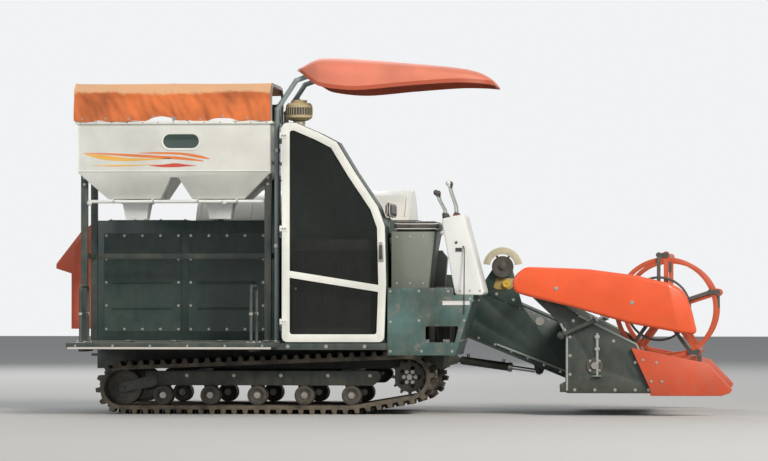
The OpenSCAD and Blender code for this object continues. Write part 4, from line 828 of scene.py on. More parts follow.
@dataclass
class Canopy(Assembly):
    """The moulded sun roof: one smooth shell with a rolled rim, with painted shade on its rim band and its inside."""

    rows: tuple[tuple[float, ...], ...] = (
        (-0.653, 2.596, 2.612, 0.55), (-0.600, 2.562, 2.640, 0.75), (-0.520, 2.500, 2.682, 0.88),
        (-0.430, 2.462, 2.696, 0.95), (-0.180, 2.439, 2.684, 1.0), (0.173, 2.468, 2.655, 1.0),
        (0.524, 2.492, 2.621, 0.97), (0.700, 2.490, 2.588, 0.9), (0.805, 2.482, 2.538, 0.78),
        (0.851, 2.476, 2.490, 0.6),
    )
    middle: float = -0.390
    half: float = 0.480
    squareness: float = 0.45
    shrink: float = 0.0015
    wall: float = 0.0055
    rim_band: float = 0.030
    arch_steps: int = 40

    def ring(self, row: Sequence[float]) -> list[Point]:
        """The arch of one row.

        Args:
            row: its x, rim height, crown height and share of the half width.

        Returns:
            The arch's points from the right rim to the left rim.
        """
        x, rim, crown, share = row
        w, h = self.half * share - self.shrink, max(crown - rim - self.shrink, 0.004)
        band = math.asin(min(self.rim_band / h, 0.8) ** (1 / self.squareness))
        turns = [band + (math.pi - 2 * band) * k / self.arch_steps for k in range(self.arch_steps + 1)]
        points = []
        for a in (0.0, *turns, math.pi):
            c, up = math.cos(a), max(math.sin(a), 0.0)
            y = self.middle - w * math.copysign(abs(c) ** self.squareness, c)
            points.append((x, y, rim + h * up ** self.squareness))
        return points

    def pieces(self) -> None:
        """Makes the shell, with painted shade on its rim band and its inside."""
        (x0, *first), *middle, (x1, *last) = self.rows
        dense = smooth_rows([(x0 + self.shrink, *first), *middle, (x1 - self.shrink, *last)])
        bm = loft_sheet([self.ring(r) for r in dense])
        for end in (self.ring(dense[0]), self.ring(dense[-1])):
            bm.faces.new([min(bm.verts, key=lambda v, p=p: (v.co - Vector(p)).length) for p in end])
        bmesh.ops.recalc_face_normals(bm, faces=bm.faces)
        # Faces low on the rim band take the darker finish: painted shade along the rim.
        for face in bm.faces:
            centre = face.calc_center_median()
            row = min(dense, key=lambda row: abs(row[0] - centre.x))
            if centre.z < row[1] + 0.75 * min(self.rim_band, 0.8 * (row[2] - row[1])):
                face.material_index = 1
        shell = Work(bm).show("canopy_shell", "root", CANOPY_ORANGE, CANOPY_PAINTED_SHADE)
        # The shell's inside takes the darker finish too: painted shade under the roof.
        solidify(shell, self.wall, inner_material=1)
        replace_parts(shell, "canopy")


@dataclass
class TankTarp(Assembly):
    """The tarp over the tank: one sheet from its wavy right hem over the hoops to its left edge."""

    x0: float = -2.334
    x1: float = -0.834
    margin: float = 0.004
    right: float = -0.824
    left: float = 0.004
    tank_right: float = -0.780
    tank_left: float = -0.020
    low: float = 2.208
    top: float = 2.502
    lift: float = 0.004
    wall: float = 0.0022
    count: int = 150
    hoops: tuple[float, ...] = (-2.313, -1.575, -0.837)
    gaps: tuple[tuple[float, float, float], ...] = ((-1.80, -1.55, 0.040), (-1.37, -1.07, 0.032))

    def profile(self) -> list[Flat]:
        """The cross-section from the right hem over the top, as (y, z) points."""
        corners = [(self.right, self.low), (self.right, self.top - 0.064), (self.tank_right + 0.060, self.top - 0.002),
                   (self.tank_left - 0.060, self.top - 0.002), (self.left, self.top - 0.063)]
        points = []
        for a, b, n in zip(corners, corners[1:], (22, 10, 40, 8)):
            points += [(a[0] + (b[0] - a[0]) * k / n, a[1] + (b[1] - a[1]) * k / n) for k in range(n)]
        return points + [corners[-1]]

    def sag(self, x: float) -> float:
        """How far the cloth hangs between the hoops at x, as a share from 0 to 1."""
        for a, b in zip(self.hoops, self.hoops[1:]):
            if a <= x <= b:
                t = (x - a) / (b - a)
                return 4 * t * (1 - t)
        return 0.0

    def place(self, x: float, y: float, z: float) -> Point:
        """One cloth point with its folds and sag.

        Args:
            x: along the tarp.
            y: across it.
            z: its height on the plain section.

        Returns:
            The settled point.
        """
        drop = (self.top - z) / (self.top - self.low)
        hang = self.sag(x)
        if self.tank_right + 0.06 < y < self.tank_left - 0.06:
            across = (y - self.tank_right) / (self.tank_left - self.tank_right)
            wave = 0.010 * noise.noise(Vector((x * 5, y * 9, 2.0)))
            return (x, y, z + self.lift - hang ** 0.6 * (0.010 + 0.026 * math.sin(math.pi * across) + wave))
        if y < self.tank_right + 0.06:
            folds = noise.noise(Vector((x * 7.5 + z * 2.2, z * 4.0, 5.0)))
            folds += 0.5 * noise.noise(Vector((x * 21 + z * 7, z * 9, 1.0)))
            y += (0.010 + 0.018 * drop) * (folds + 0.75) * min(drop * 2.5, 1.0)
            lift = sum(height * max(0.0, math.sin(math.pi * (x - a) / (b - a))) ** 1.5
                       for a, b, height in self.gaps if a < x < b)
            hem = 0.018 * noise.noise(Vector((x * 3.6, 0.0, 8.0))) + 0.008 * noise.noise(Vector((x * 11, 0.0, 3.0)))
            z += max(hem + lift + 0.004, 0.0) * drop ** 3 + self.lift * (1 - drop)
            shoulder = max(0.0, 1.0 - abs(drop - 0.22) / 0.22)
            z -= hang ** 0.6 * shoulder * (0.014 + 0.012 * noise.noise(Vector((x * 6.0, 0.0, 4.0))))
            return (x + 0.008 * folds * drop, max(y, self.right), z)
        return (x, y, z - 0.004 * hang)

    def pieces(self) -> None:
        """Makes the cloth, its hem and its eyelets."""
        section = self.profile()
        span = self.x1 - self.x0 - 2 * self.margin
        rows = []
        for x in (self.x0 + self.margin + span * i / self.count for i in range(self.count + 1)):
            rows.append([self.place(x, y, z) for y, z in section])
        cloth = Work(loft_sheet(rows)).show("tank_tarp_cloth", "root", TARP)
        solidify(cloth, self.wall)
        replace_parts(cloth, "tank_tarp")
        hem = Work()
        bottom = [Vector(r[0]) + Vector((0, 0.004, 0.006)) for r in rows]
        for a, b in zip(bottom[::3], bottom[3::3]):
            hem.rod(a, b, 0.004, 6)
        rope = hem.show("tarp_hem_rope", "root", TARP)
        eyes = Work()
        for row in rows[6:self.count:18]:
            seat = Vector(row[2])
            eyes.rod(seat + RIGHT * 0.0005, seat + LEFT * 0.004, 0.009, 14)
        rings = eyes.show("tarp_eyelets", "root", ZINC)


@dataclass
class Undercarriage(Assembly):
    """The chassis, its gearbox and both tracks, with hub caps and bolts."""

    shells = (
        ("chassis_frame", FRAME_GREEN, 0.0025), ("track_frames", FRAME_GREEN, 0.004), ("gearbox", IRON, 0.008),
        ("track_rollers", IRON, 0.003), ("drive_sprockets", IRON, 0.0015), ("right_track", RUBBER, 0.003),
        ("left_track", RUBBER, 0.003),
    )
    track_y: Flat = (-0.390, 0.710)
    rollers: tuple[float, ...] = (-0.26, -0.62, -0.98, -1.34, -1.70)
    roller_z: float = 0.140
    idler: Flat = (-2.000, 0.200)
    sprocket: Flat = (0.180, 0.280)
    sill_right: float = -0.790
    sill_left: float = 1.070
    sill_z: float = 0.515
    front_plate: float = 0.330

    def hubs(self) -> None:
        """Adds the rollers' caps and the sprockets' bolts."""
        work = Work()
        for y in self.track_y:
            for out in (RIGHT, LEFT):
                for x, z, deep in [(x, self.roller_z, 0.066) for x in self.rollers] + [(*self.idler, 0.072)]:
                    seat = Vector((x, y, z)) + out * deep
                    work.rod(seat - out * 0.001, seat + out * 0.009, 0.030, 16, 0.024)
                    work.bolts([seat + out * 0.009], out, 0.010)
            out = RIGHT if y < 0 else LEFT
            hub = Vector((self.sprocket[0], y, self.sprocket[1])) + out * 0.020
            work.bolts(circle(hub, 0.044, 6, 0.0), out, 0.011)
            work.rod(hub, hub + out * 0.026, 0.026, 18, 0.022)
        work.show("hub_caps", "root", ZINC)

    def pieces(self) -> None:
        """Makes the hub caps, and the bolts of the chassis and the track frames."""
        self.hubs()
        work = Work()
        work.bolts(product(steps(-2.16, 0.29, 10), [self.sill_right], [self.sill_z]), RIGHT, 0.011)
        work.bolts(product(steps(-2.16, 0.28, 9), [self.sill_left], [self.sill_z]), LEFT, 0.011)
        for y, out in product(self.track_y, (RIGHT, LEFT)):
            work.bolts(product((-1.80, -1.52, -1.16, -0.80, -0.44, -0.12), [y + out.y * 0.050], [0.290]), out, 0.010)
        work.bolts(product([self.front_plate], (-0.01, 0.10, 0.22, 0.33), (0.235, 0.35)), FRONT, 0.011)
        work.rod((self.front_plate + 0.001, 0.16, 0.30), (self.front_plate + 0.010, 0.16, 0.30), 0.055, 24)
        work.show("chassis_bolts", "root", ZINC)


@dataclass
class Decks(Assembly):
    """The bagging deck and the folding platform, with their raised tread and fittings."""

    shells = (("deck_plate", DECK_STEEL, 0.0015), ("folding_platform", FRAME_GREEN, 0.0015))
    top: float = 0.546
    pitch: float = 0.050
    deck: tuple[float, float, float, float] = (-2.285, -0.795, -0.735, 0.060)
    platform: tuple[float, float, float, float] = (-2.295, -0.800, -1.215, -0.870)
    guards: Flat = (-2.214, -0.936)
    guard_feet: Flat = (-1.220, -0.860)
    foot: float = 0.005
    collar: Flat = (0.752, 0.772)
    edge: float = -1.2412
    screw_z: float = 0.525
    hinge: Flat = (-0.806, 0.555)

    def tread(self, area: Sequence[float], keep_off: Callable[[float, float], bool]) -> Work:
        """Raised lozenges in alternate directions.

        Args:
            area: its x and y limits.
            keep_off: tells where none stands.

        Returns:
            The lozenges.
        """
        work = Work()
        for i in range(int((area[1] - area[0]) / self.pitch)):
            for j in range(int((area[3] - area[2]) / self.pitch)):
                x, y = area[0] + (i + 0.5) * self.pitch, area[2] + (j + 0.5) * self.pitch
                if keep_off(x, y):
                    continue
                turn = math.radians(45 if (i + j) % 2 else -45)
                place = Matrix.Translation((x, y, self.top + 0.0007)) @ Matrix.Rotation(turn, 4, "Z")
                bmesh.ops.create_cone(work.bm, cap_ends=True, segments=4, radius1=0.017, radius2=0.009, depth=0.0022,
                                      matrix=place @ Matrix.Diagonal((1, 0.36, 1, 1)))
        return work

    @staticmethod
    def by_post(x: float, y: float) -> bool:
        """Whether a tank post or the corner beside the engine takes this spot."""
        return any(abs(x - a) < 0.05 and abs(y - b) < 0.05 for a, b in TANK_POSTS) or (x > -1.01 and y > -0.06)

    def by_guard(self, x: float, _: float) -> bool:
        """Whether a guard rail's foot takes this spot."""
        return any(abs(x - a) < 0.045 for a in self.guards)

    def pieces(self) -> None:
        """Makes the tread, the guard rails' flanges, the pale strip that paints the platform edge's highlight, the
        hinge pins and the posts' bolts.
        """
        self.tread(self.deck, self.by_post).show("deck_tread", "root", DECK_STEEL, smooth=False)
        self.tread(self.platform, self.by_guard).show("platform_tread", "platform", DECK_STEEL, smooth=False)
        work = Work()
        top = self.top + self.foot
        for x, y in product(self.guards, self.guard_feet):
            work.block((x - 0.034, y - 0.018, self.top), (x + 0.034, y + 0.018, top), 0.003)
            work.bolts([(x - 0.024, y, top), (x + 0.024, y, top)], UP, 0.006)
            work.ring((x, y, self.collar[0]), (x, y, self.collar[1]), 0.0112, 0.015)
        for x in steps(-2.25, 0.28, 6):
            work.rod((x, -1.234, self.screw_z), (x, self.edge, self.screw_z), 0.0100, 14, 0.0085)
        work.show("platform_fittings", "platform", ZINC)
        # A pale strip along the platform's edge: a painted highlight.
        work = Work()
        work.block((self.platform[0] - 0.015, self.edge, 0.500), (self.platform[1] + 0.015, self.edge + 0.002, 0.515))
        work.show("platform_edge_highlight", "platform", PAINTED_EDGE_HIGHLIGHT)
        work = Work()
        for x in (-2.2975, -0.7985):
            work.rod((x - 0.010, *self.hinge), (x + 0.010, *self.hinge), 0.0075)
        for x, y in TANK_POSTS:
            work.bolts([(x - 0.034, y - 0.034, self.top), (x + 0.034, y + 0.034, self.top)], UP, 0.007)
        work.show("deck_fittings", "root", ZINC)


@dataclass
class GrainTank(Assembly):
    """The grain tank's skin: its window, its stripes, its seams, and the spouts under it."""

    shells = (("grain_tank", CREAM, 0.003), ("tank_stand", FRAME_GREEN, 0.0025), ("bag_spouts", IVORY, 0.001))
    wall: float = -0.780
    window: tuple[float, float, float, float] = (-1.654, -1.386, 2.011, 2.113)
    rim_z: float = 2.203
    crease: float = 1.836
    seam: float = 0.0035
    funnels: Flat = (-1.8958, -1.2542)
    funnel_z: float = 1.606
    stripes: tuple[tuple[int, tuple[Point, ...]], ...] = (
        (1, ((-2.252, 1.966, 1.970), (-2.180, 1.940, 1.966), (-2.080, 1.920, 1.956), (-1.950, 1.912, 1.938),
             (-1.780, 1.918, 1.932), (-1.600, 1.930, 1.936))),
        (0, ((-2.262, 1.972, 1.975), (-2.120, 1.964, 1.974), (-1.900, 1.946, 1.966), (-1.700, 1.934, 1.954),
             (-1.520, 1.922, 1.944), (-1.350, 1.908, 1.916))),
        (0, ((-1.840, 1.972, 1.975), (-1.700, 1.966, 1.980), (-1.520, 1.958, 1.976), (-1.380, 1.934, 1.956),
             (-1.300, 1.926, 1.930))),
        (2, ((-1.760, 1.878, 1.881), (-1.660, 1.866, 1.886), (-1.560, 1.866, 1.896), (-1.470, 1.872, 1.884),
             (-1.400, 1.878, 1.880))),
        (1, ((-2.200, 1.880, 1.882), (-2.000, 1.872, 1.884), (-1.800, 1.880, 1.886), (-1.700, 1.890, 1.892))),
    )

    def pill(self, grow: float) -> list[Point]:
        """The window's outline, drawn larger.

        Args:
            grow: by how much.

        Returns:
            The outline's corners.
        """
        x0, x1, z0, z1 = self.window
        r, mid = (z1 - z0) / 2, (z0 + z1) / 2
        points = []
        for centre, start in ((x1 - r, -90), (x0 + r, 90)):
            for a in map(math.radians, steps(start, 15, 13)):
                points.append((centre + (r + grow) * math.cos(a), self.wall, mid + (r + grow) * math.sin(a)))
        return points

    def skin(self) -> None:
        """Adds the window, the seams and the stripes."""
        work = Work()
        work.panel(self.pill(0.016), RIGHT, 0.006, 0.014, 0.004, inner=1)
        work.pipe([(-2.300, self.wall, self.crease), (-0.850, self.wall, self.crease)], self.seam, 8)
        for x in (-2.3005, -0.8495):
            work.pipe([(x, self.wall, self.crease), (x, self.wall, 2.192)], self.seam, 8)
        work.show("tank_window", "root", CREAM, WINDOW)
        work = Work()
        for colour, rows in self.stripes:
            dense = smooth_rows(rows)
            upper = [(x, self.wall, high) for x, _, high in dense]
            lower = [(x, self.wall, low) for x, low, _ in reversed(dense)]
            work.outline(upper + lower, RIGHT * 0.0006, mat=colour)
        work.show("tank_stripes", "root", STRIPE_ORANGE, STRIPE_YELLOW, STRIPE_RED, smooth=False)

    def pieces(self) -> None:
        """Makes the skin, the rim's rivets, the brackets' bolts and the rail's knobs."""
        self.skin()
        work = Work()
        long_sides = product(steps(-2.28, 0.1175, 13), (-0.798, -0.002))
        short_sides = product((-2.322, -0.828), steps(-0.72, 0.107, 7))
        for x, y in (*long_sides, *short_sides):
            work.ball((x, y, self.rim_z), 0.0055)
        for x in self.funnels:
            work.bolts(product((x - 0.085, x, x + 0.085), [-0.572], [self.funnel_z]), RIGHT, 0.007)
        for x, y in TANK_POSTS:
            out = RIGHT if y < -0.4 else LEFT
            work.bolts(product([x], [y + out.y * 0.025], (1.74, 1.79)), out, 0.008)
        work.show("tank_rivets", "root", ZINC)
        work = Work()
        for x, z in ((-2.236, 1.598), (-1.208, 1.604)):
            work.ball((x, -0.662, z), 0.020)
            work.rod((x, -0.650, z), (x, -0.636, z + 0.006), 0.007, 10)
        work.show("rail_knobs", "root", WHITE_PLASTIC)


@dataclass
class EngineBay(Assembly):
    """The engine's housing, its radiator, the screen door and the pre-cleaner."""

    shells = (("engine_housing", MACHINE_GREEN, 0.0012), ("engine", IRON, 0.010), ("radiator", CORE_BLACK, 0.004),
              ("screen_door", CREAM, 0.004))
    outline: tuple[Flat, ...] = (
        (-0.756, 0.546), (-0.756, 2.200), (-0.648, 2.200), (-0.468, 2.122), (-0.338, 2.054), (-0.202, 1.829),
        (-0.029, 1.571), (0.026, 1.417), (0.036, 0.985), (0.020, 0.546),
    )
    frame_inset: float = 0.050
    pitch: float = 0.006
    wire: float = 0.0015
    uprights: Flat = (-0.7892, -0.7885)
    levels: Flat = (-0.7885, -0.7878)
    door_face: float = -0.8055
    latch_face: float = -0.8035
    cleaner_axis: Flat = (-0.642, -0.6147)

    def inner_corners(self) -> list[Vector]:
        """The corners of the field that the wires fill."""
        bm = bmesh.new()
        face = bm.faces.new([bm.verts.new((x, 0, z)) for x, z in self.outline])
        bmesh.ops.inset_region(bm, faces=[face], thickness=self.frame_inset, use_even_offset=True)
        corners = [v.co.copy() for v in face.verts]
        bm.free()
        return corners

    @staticmethod
    def span(corners: list[Vector], axis: int, at: float) -> Flat | None:
        """Where a line across the field enters and leaves it.

        Args:
            corners: the field's corners.
            axis: 0 for an upright line, 2 for a level one.
            at: the line's place.

        Returns:
            Both ends, or None where it misses.
        """
        other = 2 - axis
        hits = []
        for a, b in zip(corners, corners[1:] + corners[:1]):
            if (a[axis] - at) * (b[axis] - at) < 0:
                t = (at - a[axis]) / (b[axis] - a[axis])
                hits.append(a[other] + (b[other] - a[other]) * t)
        return (min(hits), max(hits)) if len(hits) == 2 else None

    def mesh(self) -> None:
        """Weaves the door's wire mesh."""
        corners = self.inner_corners()
        work = Work()
        half = self.wire / 2
        for axis, (near, far) in ((0, self.uprights), (2, self.levels)):
            low, high = min(c[axis] for c in corners), max(c[axis] for c in corners)
            for at in steps(low + self.pitch, self.pitch, int((high - low) / self.pitch) - 1):
                ends = self.span(corners, axis, at)
                if ends and axis == 0:
                    work.block((at - half, near, ends[0]), (at + half, far, ends[1]))
                elif ends:
                    work.block((ends[0], near, at - half), (ends[1], far, at + half))
        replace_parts(work.show("door_wires", "door", MESH_GREEN, smooth=False), "door_mesh")

    def door(self) -> None:
        """Adds the door's hinge bolts, the lowest two as flush rivets, and its latch."""
        work = Work()
        face = self.door_face
        for x in (-0.748, -0.728):
            work.rod((x, face, 0.701), (x, face - 0.0012, 0.701), 0.006)
            work.bolts([(x, face, 1.401), (x, face, 2.101)], RIGHT, 0.006)
        work.block((-0.024, self.latch_face, 1.150), (0.014, self.latch_face + 0.004, 1.300), 0.002)
        work.block((-0.018, -0.8155, 1.172), (0.006, -0.808, 1.278), 0.0035, mat=1)
        work.bolts(product([-0.005], [self.latch_face], (1.160, 1.290)), RIGHT, 0.006)
        work.show("door_latch", "door", ZINC, BLACK_PLASTIC)

    def radiator(self) -> None:
        """Adds the radiator's fins, its filler cap and its bolts."""
        work = Work()
        for x in steps(-0.660, 0.0073, 76):
            work.block((x, -0.694, 0.660), (x + 0.0012, -0.6895, 1.236))
        for z in steps(0.664, 0.0355, 17):
            work.block((-0.664, -0.6955, z), (-0.106, -0.692, z + 0.004))
        work.show("radiator_fins", "root", CORE_BLACK, smooth=False)
        work = Work()
        work.rod((-0.20, -0.655, 1.289), (-0.20, -0.655, 1.306), 0.026, 20, 0.023)
        work.bolts(product((-0.66, -0.11), [-0.690], (0.63, 0.95, 1.27)), RIGHT, 0.008)
        work.show("radiator_cap", "root", ZINC)

    def cleaner(self) -> None:
        """Dresses the pre-cleaner with its dark inlet band, its vanes and its clamp."""
        x, y = self.cleaner_axis
        work = Work()
        work.ring((x, y, 2.262), (x, y, 2.318), 0.097, 0.1006, 40, mat=1)
        for spot in circle((x, y, 2.264), 0.1008, 30, 0.0, level=True):
            work.rod(spot, spot + UP * 0.052, 0.0024, 6)
        work.ring((x, y, 2.194), (x, y, 2.208), 0.0435, 0.0475, 28, mat=2)
        work.rod((x, y, 2.3735), (x, y, 2.380), 0.020, 18, 0.016)
        work.rod((x, y, 2.380), (x, y, 2.392), 0.006, 10, mat=2)
        work.show("cleaner_vanes", "root", BEIGE, BLACK_PLASTIC, ZINC)

    def pieces(self) -> None:
        """Makes the door's mesh and latch, the radiator's and the pre-cleaner's fittings, and the housing's bolts."""
        self.mesh()
        self.door()
        self.radiator()
        self.cleaner()
        work = Work()
        work.bolts(product((-0.70, -0.52, -0.34, -0.16, -0.03), [0.060], (1.270, 0.60)), LEFT, 0.008)
        work.show("housing_bolts", "root", ZINC)


def rounded_loop(lo: Spot, hi: Spot, fixed: int, at: float, r: float) -> list[Vector]:
    """A rounded rectangle between two corners of a box, level along one axis.

    Args:
        lo: the box's lowest corner.
        hi: the box's highest corner.
        fixed: the axis that stays level.
        at: the loop's place on that axis.
        r: the corners' radius.

    Returns:
        The loop's points, evenly spread.
    """
    a, b = [k for k in range(3) if k != fixed]
    points = []
    for ca, cb, start in ((hi[a] - r, hi[b] - r, 0), (lo[a] + r, hi[b] - r, 90), (lo[a] + r, lo[b] + r, 180),
                          (hi[a] - r, lo[b] + r, 270)):
        for turn in map(math.radians, steps(start, 15, 7)):
            point = Vector()
            point[a], point[b], point[fixed] = ca + r * math.cos(turn), cb + r * math.sin(turn), at
            points.append(point)
    dense = []
    for p, q in zip(points, points[1:] + points[:1]):
        n = max(1, round((q - p).length / 0.02))
        dense += [p.lerp(q, k / n) for k in range(n)]
    return dense


@dataclass
class Pad:
    """A padded piece: a rounded block blown up by a cloth simulation."""

    node: str
    inset: float = 0.009
    rounding: float = 0.020
    voxel: float = 0.006
    cap: float = 0.009
    pressure: float = 4.0
    frames: int = 20

    @staticmethod
    def apply(piece: bpy.types.Object) -> None:
        """Applies the piece's modifiers to its mesh."""
        graph = bpy.context.evaluated_depsgraph_get()
        mesh = bpy.data.meshes.new_from_object(piece.evaluated_get(graph))
        piece.modifiers.clear()
        piece.data = mesh

    def blow_up(self, piece: bpy.types.Object) -> None:
        """Runs the simulation and keeps each point within the cap of where it was.

        Args:
            piece: the pad.
        """
        still = [v.co.copy() for v in piece.data.vertices]
        air = piece.modifiers.new("air", "CLOTH").settings
        air.use_pressure = True
        air.uniform_pressure_force = self.pressure
        air.effector_weights.gravity = 0.0
        for number in range(1, self.frames + 1):
            bpy.context.scene.frame_set(number)
        self.apply(piece)
        for vert, before in zip(piece.data.vertices, still):
            move = vert.co - before
            vert.co = before + move * min(1.0, self.cap / max(move.length, 1e-9))

    def build(self, name: str) -> BVHTree:
        """Makes the pad.

        Args:
            name: its name.

        Returns:
            The tree that finds its surface.
        """
        lo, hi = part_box(self.node)
        grow = Vector((self.inset,) * 3)
        work = Work()
        work.block(lo + grow, hi - grow)
        round_off(work.bm, work.bm.edges, self.rounding, 6)
        piece = work.show(name, body_of(self.node), VINYL)
        skin = piece.modifiers.new("skin", "REMESH")
        skin.mode, skin.voxel_size = "VOXEL", self.voxel
        self.apply(piece)
        self.blow_up(piece)
        finer = piece.modifiers.new("round", "SUBSURF")
        finer.levels = finer.render_levels = 1
        self.apply(piece)
        for face in piece.data.polygons:
            face.use_smooth = True
        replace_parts(piece, self.node)
        return BVHTree.FromObject(piece, bpy.context.evaluated_depsgraph_get())


@dataclass
class Seat(Assembly):
    """The seat: its steel base, its two pads and their pale piping."""

    shells = (("seat_base", SEAT_GREY, 0.012),)
    piping: float = 0.0042

    def pieces(self) -> None:
        """Makes the pads, the piping along each pad's two rims, and the base's bolts."""
        work = Work()
        for pad, name, axis, sunk, r in ((Pad("seat_cushion"), "cushion_pad", 2, 0.012, 0.05),
                                         (Pad("seat_back", rounding=0.016, cap=0.007), "back_pad", 0, 0.008, 0.04)):
            tree = pad.build(name)
            lo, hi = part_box(pad.node)
            for at in (hi[axis] - sunk, lo[axis] + sunk):
                hits = [tree.find_nearest(point) for point in rounded_loop(lo, hi, axis, at, r)]
                seats = [spot + normal * 0.001 for spot, normal, _, _ in hits]
                seats.append(seats[0].lerp(seats[1], 0.02))
                work.pipe(seats, self.piping, 8)
        work.show("seat_piping_cord", body_of("seat_cushion"), PIPING)
        work = Work()
        for y, out in ((-0.640, RIGHT), (-0.100, LEFT)):
            work.bolts(product((0.10, 0.20, 0.30), [y], (0.99, 1.34)), out, 0.007)
        work.bolts(product([0.001], (-0.385, -0.165), (1.44, 1.53)), BACK, 0.007)
        work.show("seat_bolts", "root", ZINC)


@dataclass
class Station(Assembly):
    """The operator's floor, step, front column, levers and side console."""

    shells = (
        ("operator_floor", DECK_STEEL, 0.0015), ("step_panel", STEP_GREEN, 0.0012), ("front_column", IVORY, 0.012),
        ("side_console", GREY, 0.008), ("canopy_post", POST_GREY, 0.001),
    )
    right: float = -0.800
    column_right: float = -0.756
    column_left: float = -0.236
    column_up: Point = (-0.205, 0.0, 0.979)
    levers: tuple[tuple[Point, Point], ...] = (
        ((0.486, -0.636, 1.440), (0.396, -0.636, 1.674)), ((0.560, -0.596, 1.440), (0.486, -0.596, 1.746)),
        ((0.486, -0.376, 1.440), (0.396, -0.376, 1.674)), ((0.560, -0.336, 1.440), (0.486, -0.336, 1.746)),
    )
    pale_lever: int = 1
    boot: tuple[float, ...] = (0.030, 0.025, 0.028, 0.021, 0.024, 0.017, 0.020, 0.012)
    step_bolts: tuple[Flat, ...] = (
        (0.065, 0.48), (0.30, 0.48), (0.53, 0.48), (0.065, 0.70), (0.065, 0.93), (0.28, 0.93), (0.50, 0.93),
        (0.28, 0.71), (0.62, 0.71), (0.665, 0.872),
    )
    post_x: float = -0.801

    def control_levers(self) -> None:
        """Makes the thin bent levers with their boots and knobs, in place of the plain ones."""
        work = Work()
        for n, (base, tip) in enumerate(self.levers):
            a, b = Vector(base), Vector(tip)
            way = (b - a).normalized()
            knee = a.lerp(b, 0.45) + FRONT * 0.010
            work.pipe([a + way * 0.030, a.lerp(b, 0.25), knee, a.lerp(b, 0.75), b], 0.0065, 12)
            for k, r in enumerate(self.boot):
                start = a + way * (0.024 + 0.008 * k)
                work.rod(start, start + way * 0.0085, r, 18, r * 0.9, mat=1)
            mat = 2 if n == self.pale_lever else 1
            work.ball(b, 0.019, mat, stretch=1.15)
            work.rod(b - way * 0.030, b - way * 0.010, 0.009, 14, 0.013, mat)
        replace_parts(work.show("lever_set", "root", LEG_GREY, BLACK_PLASTIC, WHITE_PLASTIC), "control_levers")

    def column(self) -> None:
        """Adds the column's switches, its gauges, the rod down its side and its bolts."""
        work = Work()
        side, normal = self.column_right, Vector(self.column_up)
        work.rod((0.558, side + 0.001, 1.296), (0.558, side - 0.006, 1.296), 0.0105, 18, 0.0095)
        work.panel(rectangle((0.553, 0.600), side, (1.228, 1.256)), RIGHT, 0.005, 0.003, 0.001)
        work.pipe([(0.606, side + 0.004, 1.268), (0.616, side - 0.010, 1.262), (0.620, side - 0.020, 1.240),
                   (0.620, side - 0.030, 1.120), (0.620, -0.806, 0.980), (0.620, -0.808, 0.760)], 0.0042)
        for y, r in ((-0.560, 0.026), (-0.496, 0.034), (-0.432, 0.026)):
            seat = Vector((0.535, y, 1.4935))
            work.ring(seat, seat + normal * 0.007, r - 0.004, r, 28)
            work.rod(seat, seat + normal * 0.003, r - 0.003, 28, mat=1)
        for y, mat in ((-0.700, 2), (-0.290, 0)):
            seat = Vector((0.540, y, 1.4945))
            work.rod(seat, seat + normal * 0.010, 0.012, 16, 0.010, mat)
        work.show("column_controls", "root", BLACK_PLASTIC, WHITE_PLASTIC, RED_PLASTIC)
        work = Work()
        for y, out in ((side, RIGHT), (self.column_left, LEFT)):
            work.bolts(product((0.585, 0.660, 0.735), [y], [0.935]), out, 0.006)
        for z in (1.02, 1.22, 1.42):
            work.bolts(product([0.751 - (z - 0.902) * 0.255], (-0.70, -0.292), [z]), (0.97, 0, 0.25), 0.006)
        work.show("column_bolts", "root", ZINC)

    def floor(self) -> None:
        """Adds the ribbed floor mat, the step's teeth, its pale plate and the panel's bolts."""
        work = Work()
        work.block((0.398, -0.760, 0.956), (0.528, -0.070, 0.9605), 0.002)
        for y in steps(-0.745, 0.0315, 22):
            work.block((0.406, y, 0.960), (0.520, y + 0.012, 0.9635), 0.0012)
        work.show("floor_mat", "root", RUBBER)
        work = Work()
        for x in steps(0.350, 0.022, 9):
            work.block((x, -0.786, 0.544), (x + 0.008, -0.690, 0.5475))
        work.panel(rectangle((0.457, 0.664), self.right - 0.0005, (0.826, 0.860)), RIGHT, 0.003, 0.003, 0.001, inner=1)
        work.bolts([(x, self.right, z) for x, z in self.step_bolts], RIGHT, 0.008)
        for z in (0.56, 0.86):
            seats = product([0.577 + (z - 0.522) * 0.3045], (-0.74, -0.50, -0.26, -0.02), [z])
            work.bolts(seats, (0.957, 0, -0.29), 0.008)
        work.show("step_fittings", "root", ZINC, WHITE_PLASTIC)

    def console(self) -> None:
        """Adds the side console's knobs, its slots and its switch."""
        work = Work()
        for mat, x in enumerate((0.160, 0.260, 0.360)):
            work.ball((x + 0.030, -0.007, 1.380), 0.0195, mat, stretch=1.2)
            slot = [(x - 0.030, -0.030), (x + 0.045, -0.030), (x + 0.045, 0.016), (x - 0.030, 0.016)]
            work.panel([(*corner, 1.240) for corner in slot], UP, 0.004, 0.010, 0.003)
        work.rod((0.090, -0.030, 1.2395), (0.090, -0.030, 1.250), 0.013, 18, 0.011, mat=3)
        work.show("console_knobs", "root", BLACK_PLASTIC, RED_PLASTIC, WHITE_PLASTIC, ZINC)

    def posts(self) -> None:
        """Adds the canopy posts' feet, clamps and bolts."""
        work = Work()
        x = self.post_x
        for y in (-0.700, -0.060):
            work.ring((x, y, 0.546), (x, y, 0.553), 0.0195, 0.041, 24)
            work.bolts(circle((x, y, 0.553), 0.031, 4, level=True), UP, 0.0055)
            for z in (1.26, 1.98):
                work.ring((x, y, z), (x, y, z + 0.026), 0.0188, 0.0245, 24)
                work.bolts([(x, y - 0.024, z + 0.013)], RIGHT, 0.0065)
        work.show("post_clamps", "root", ZINC)

    def pieces(self) -> None:
        """Makes the levers and every fitting."""
        self.control_levers()
        self.column()
        self.floor()
        self.console()
        self.posts()


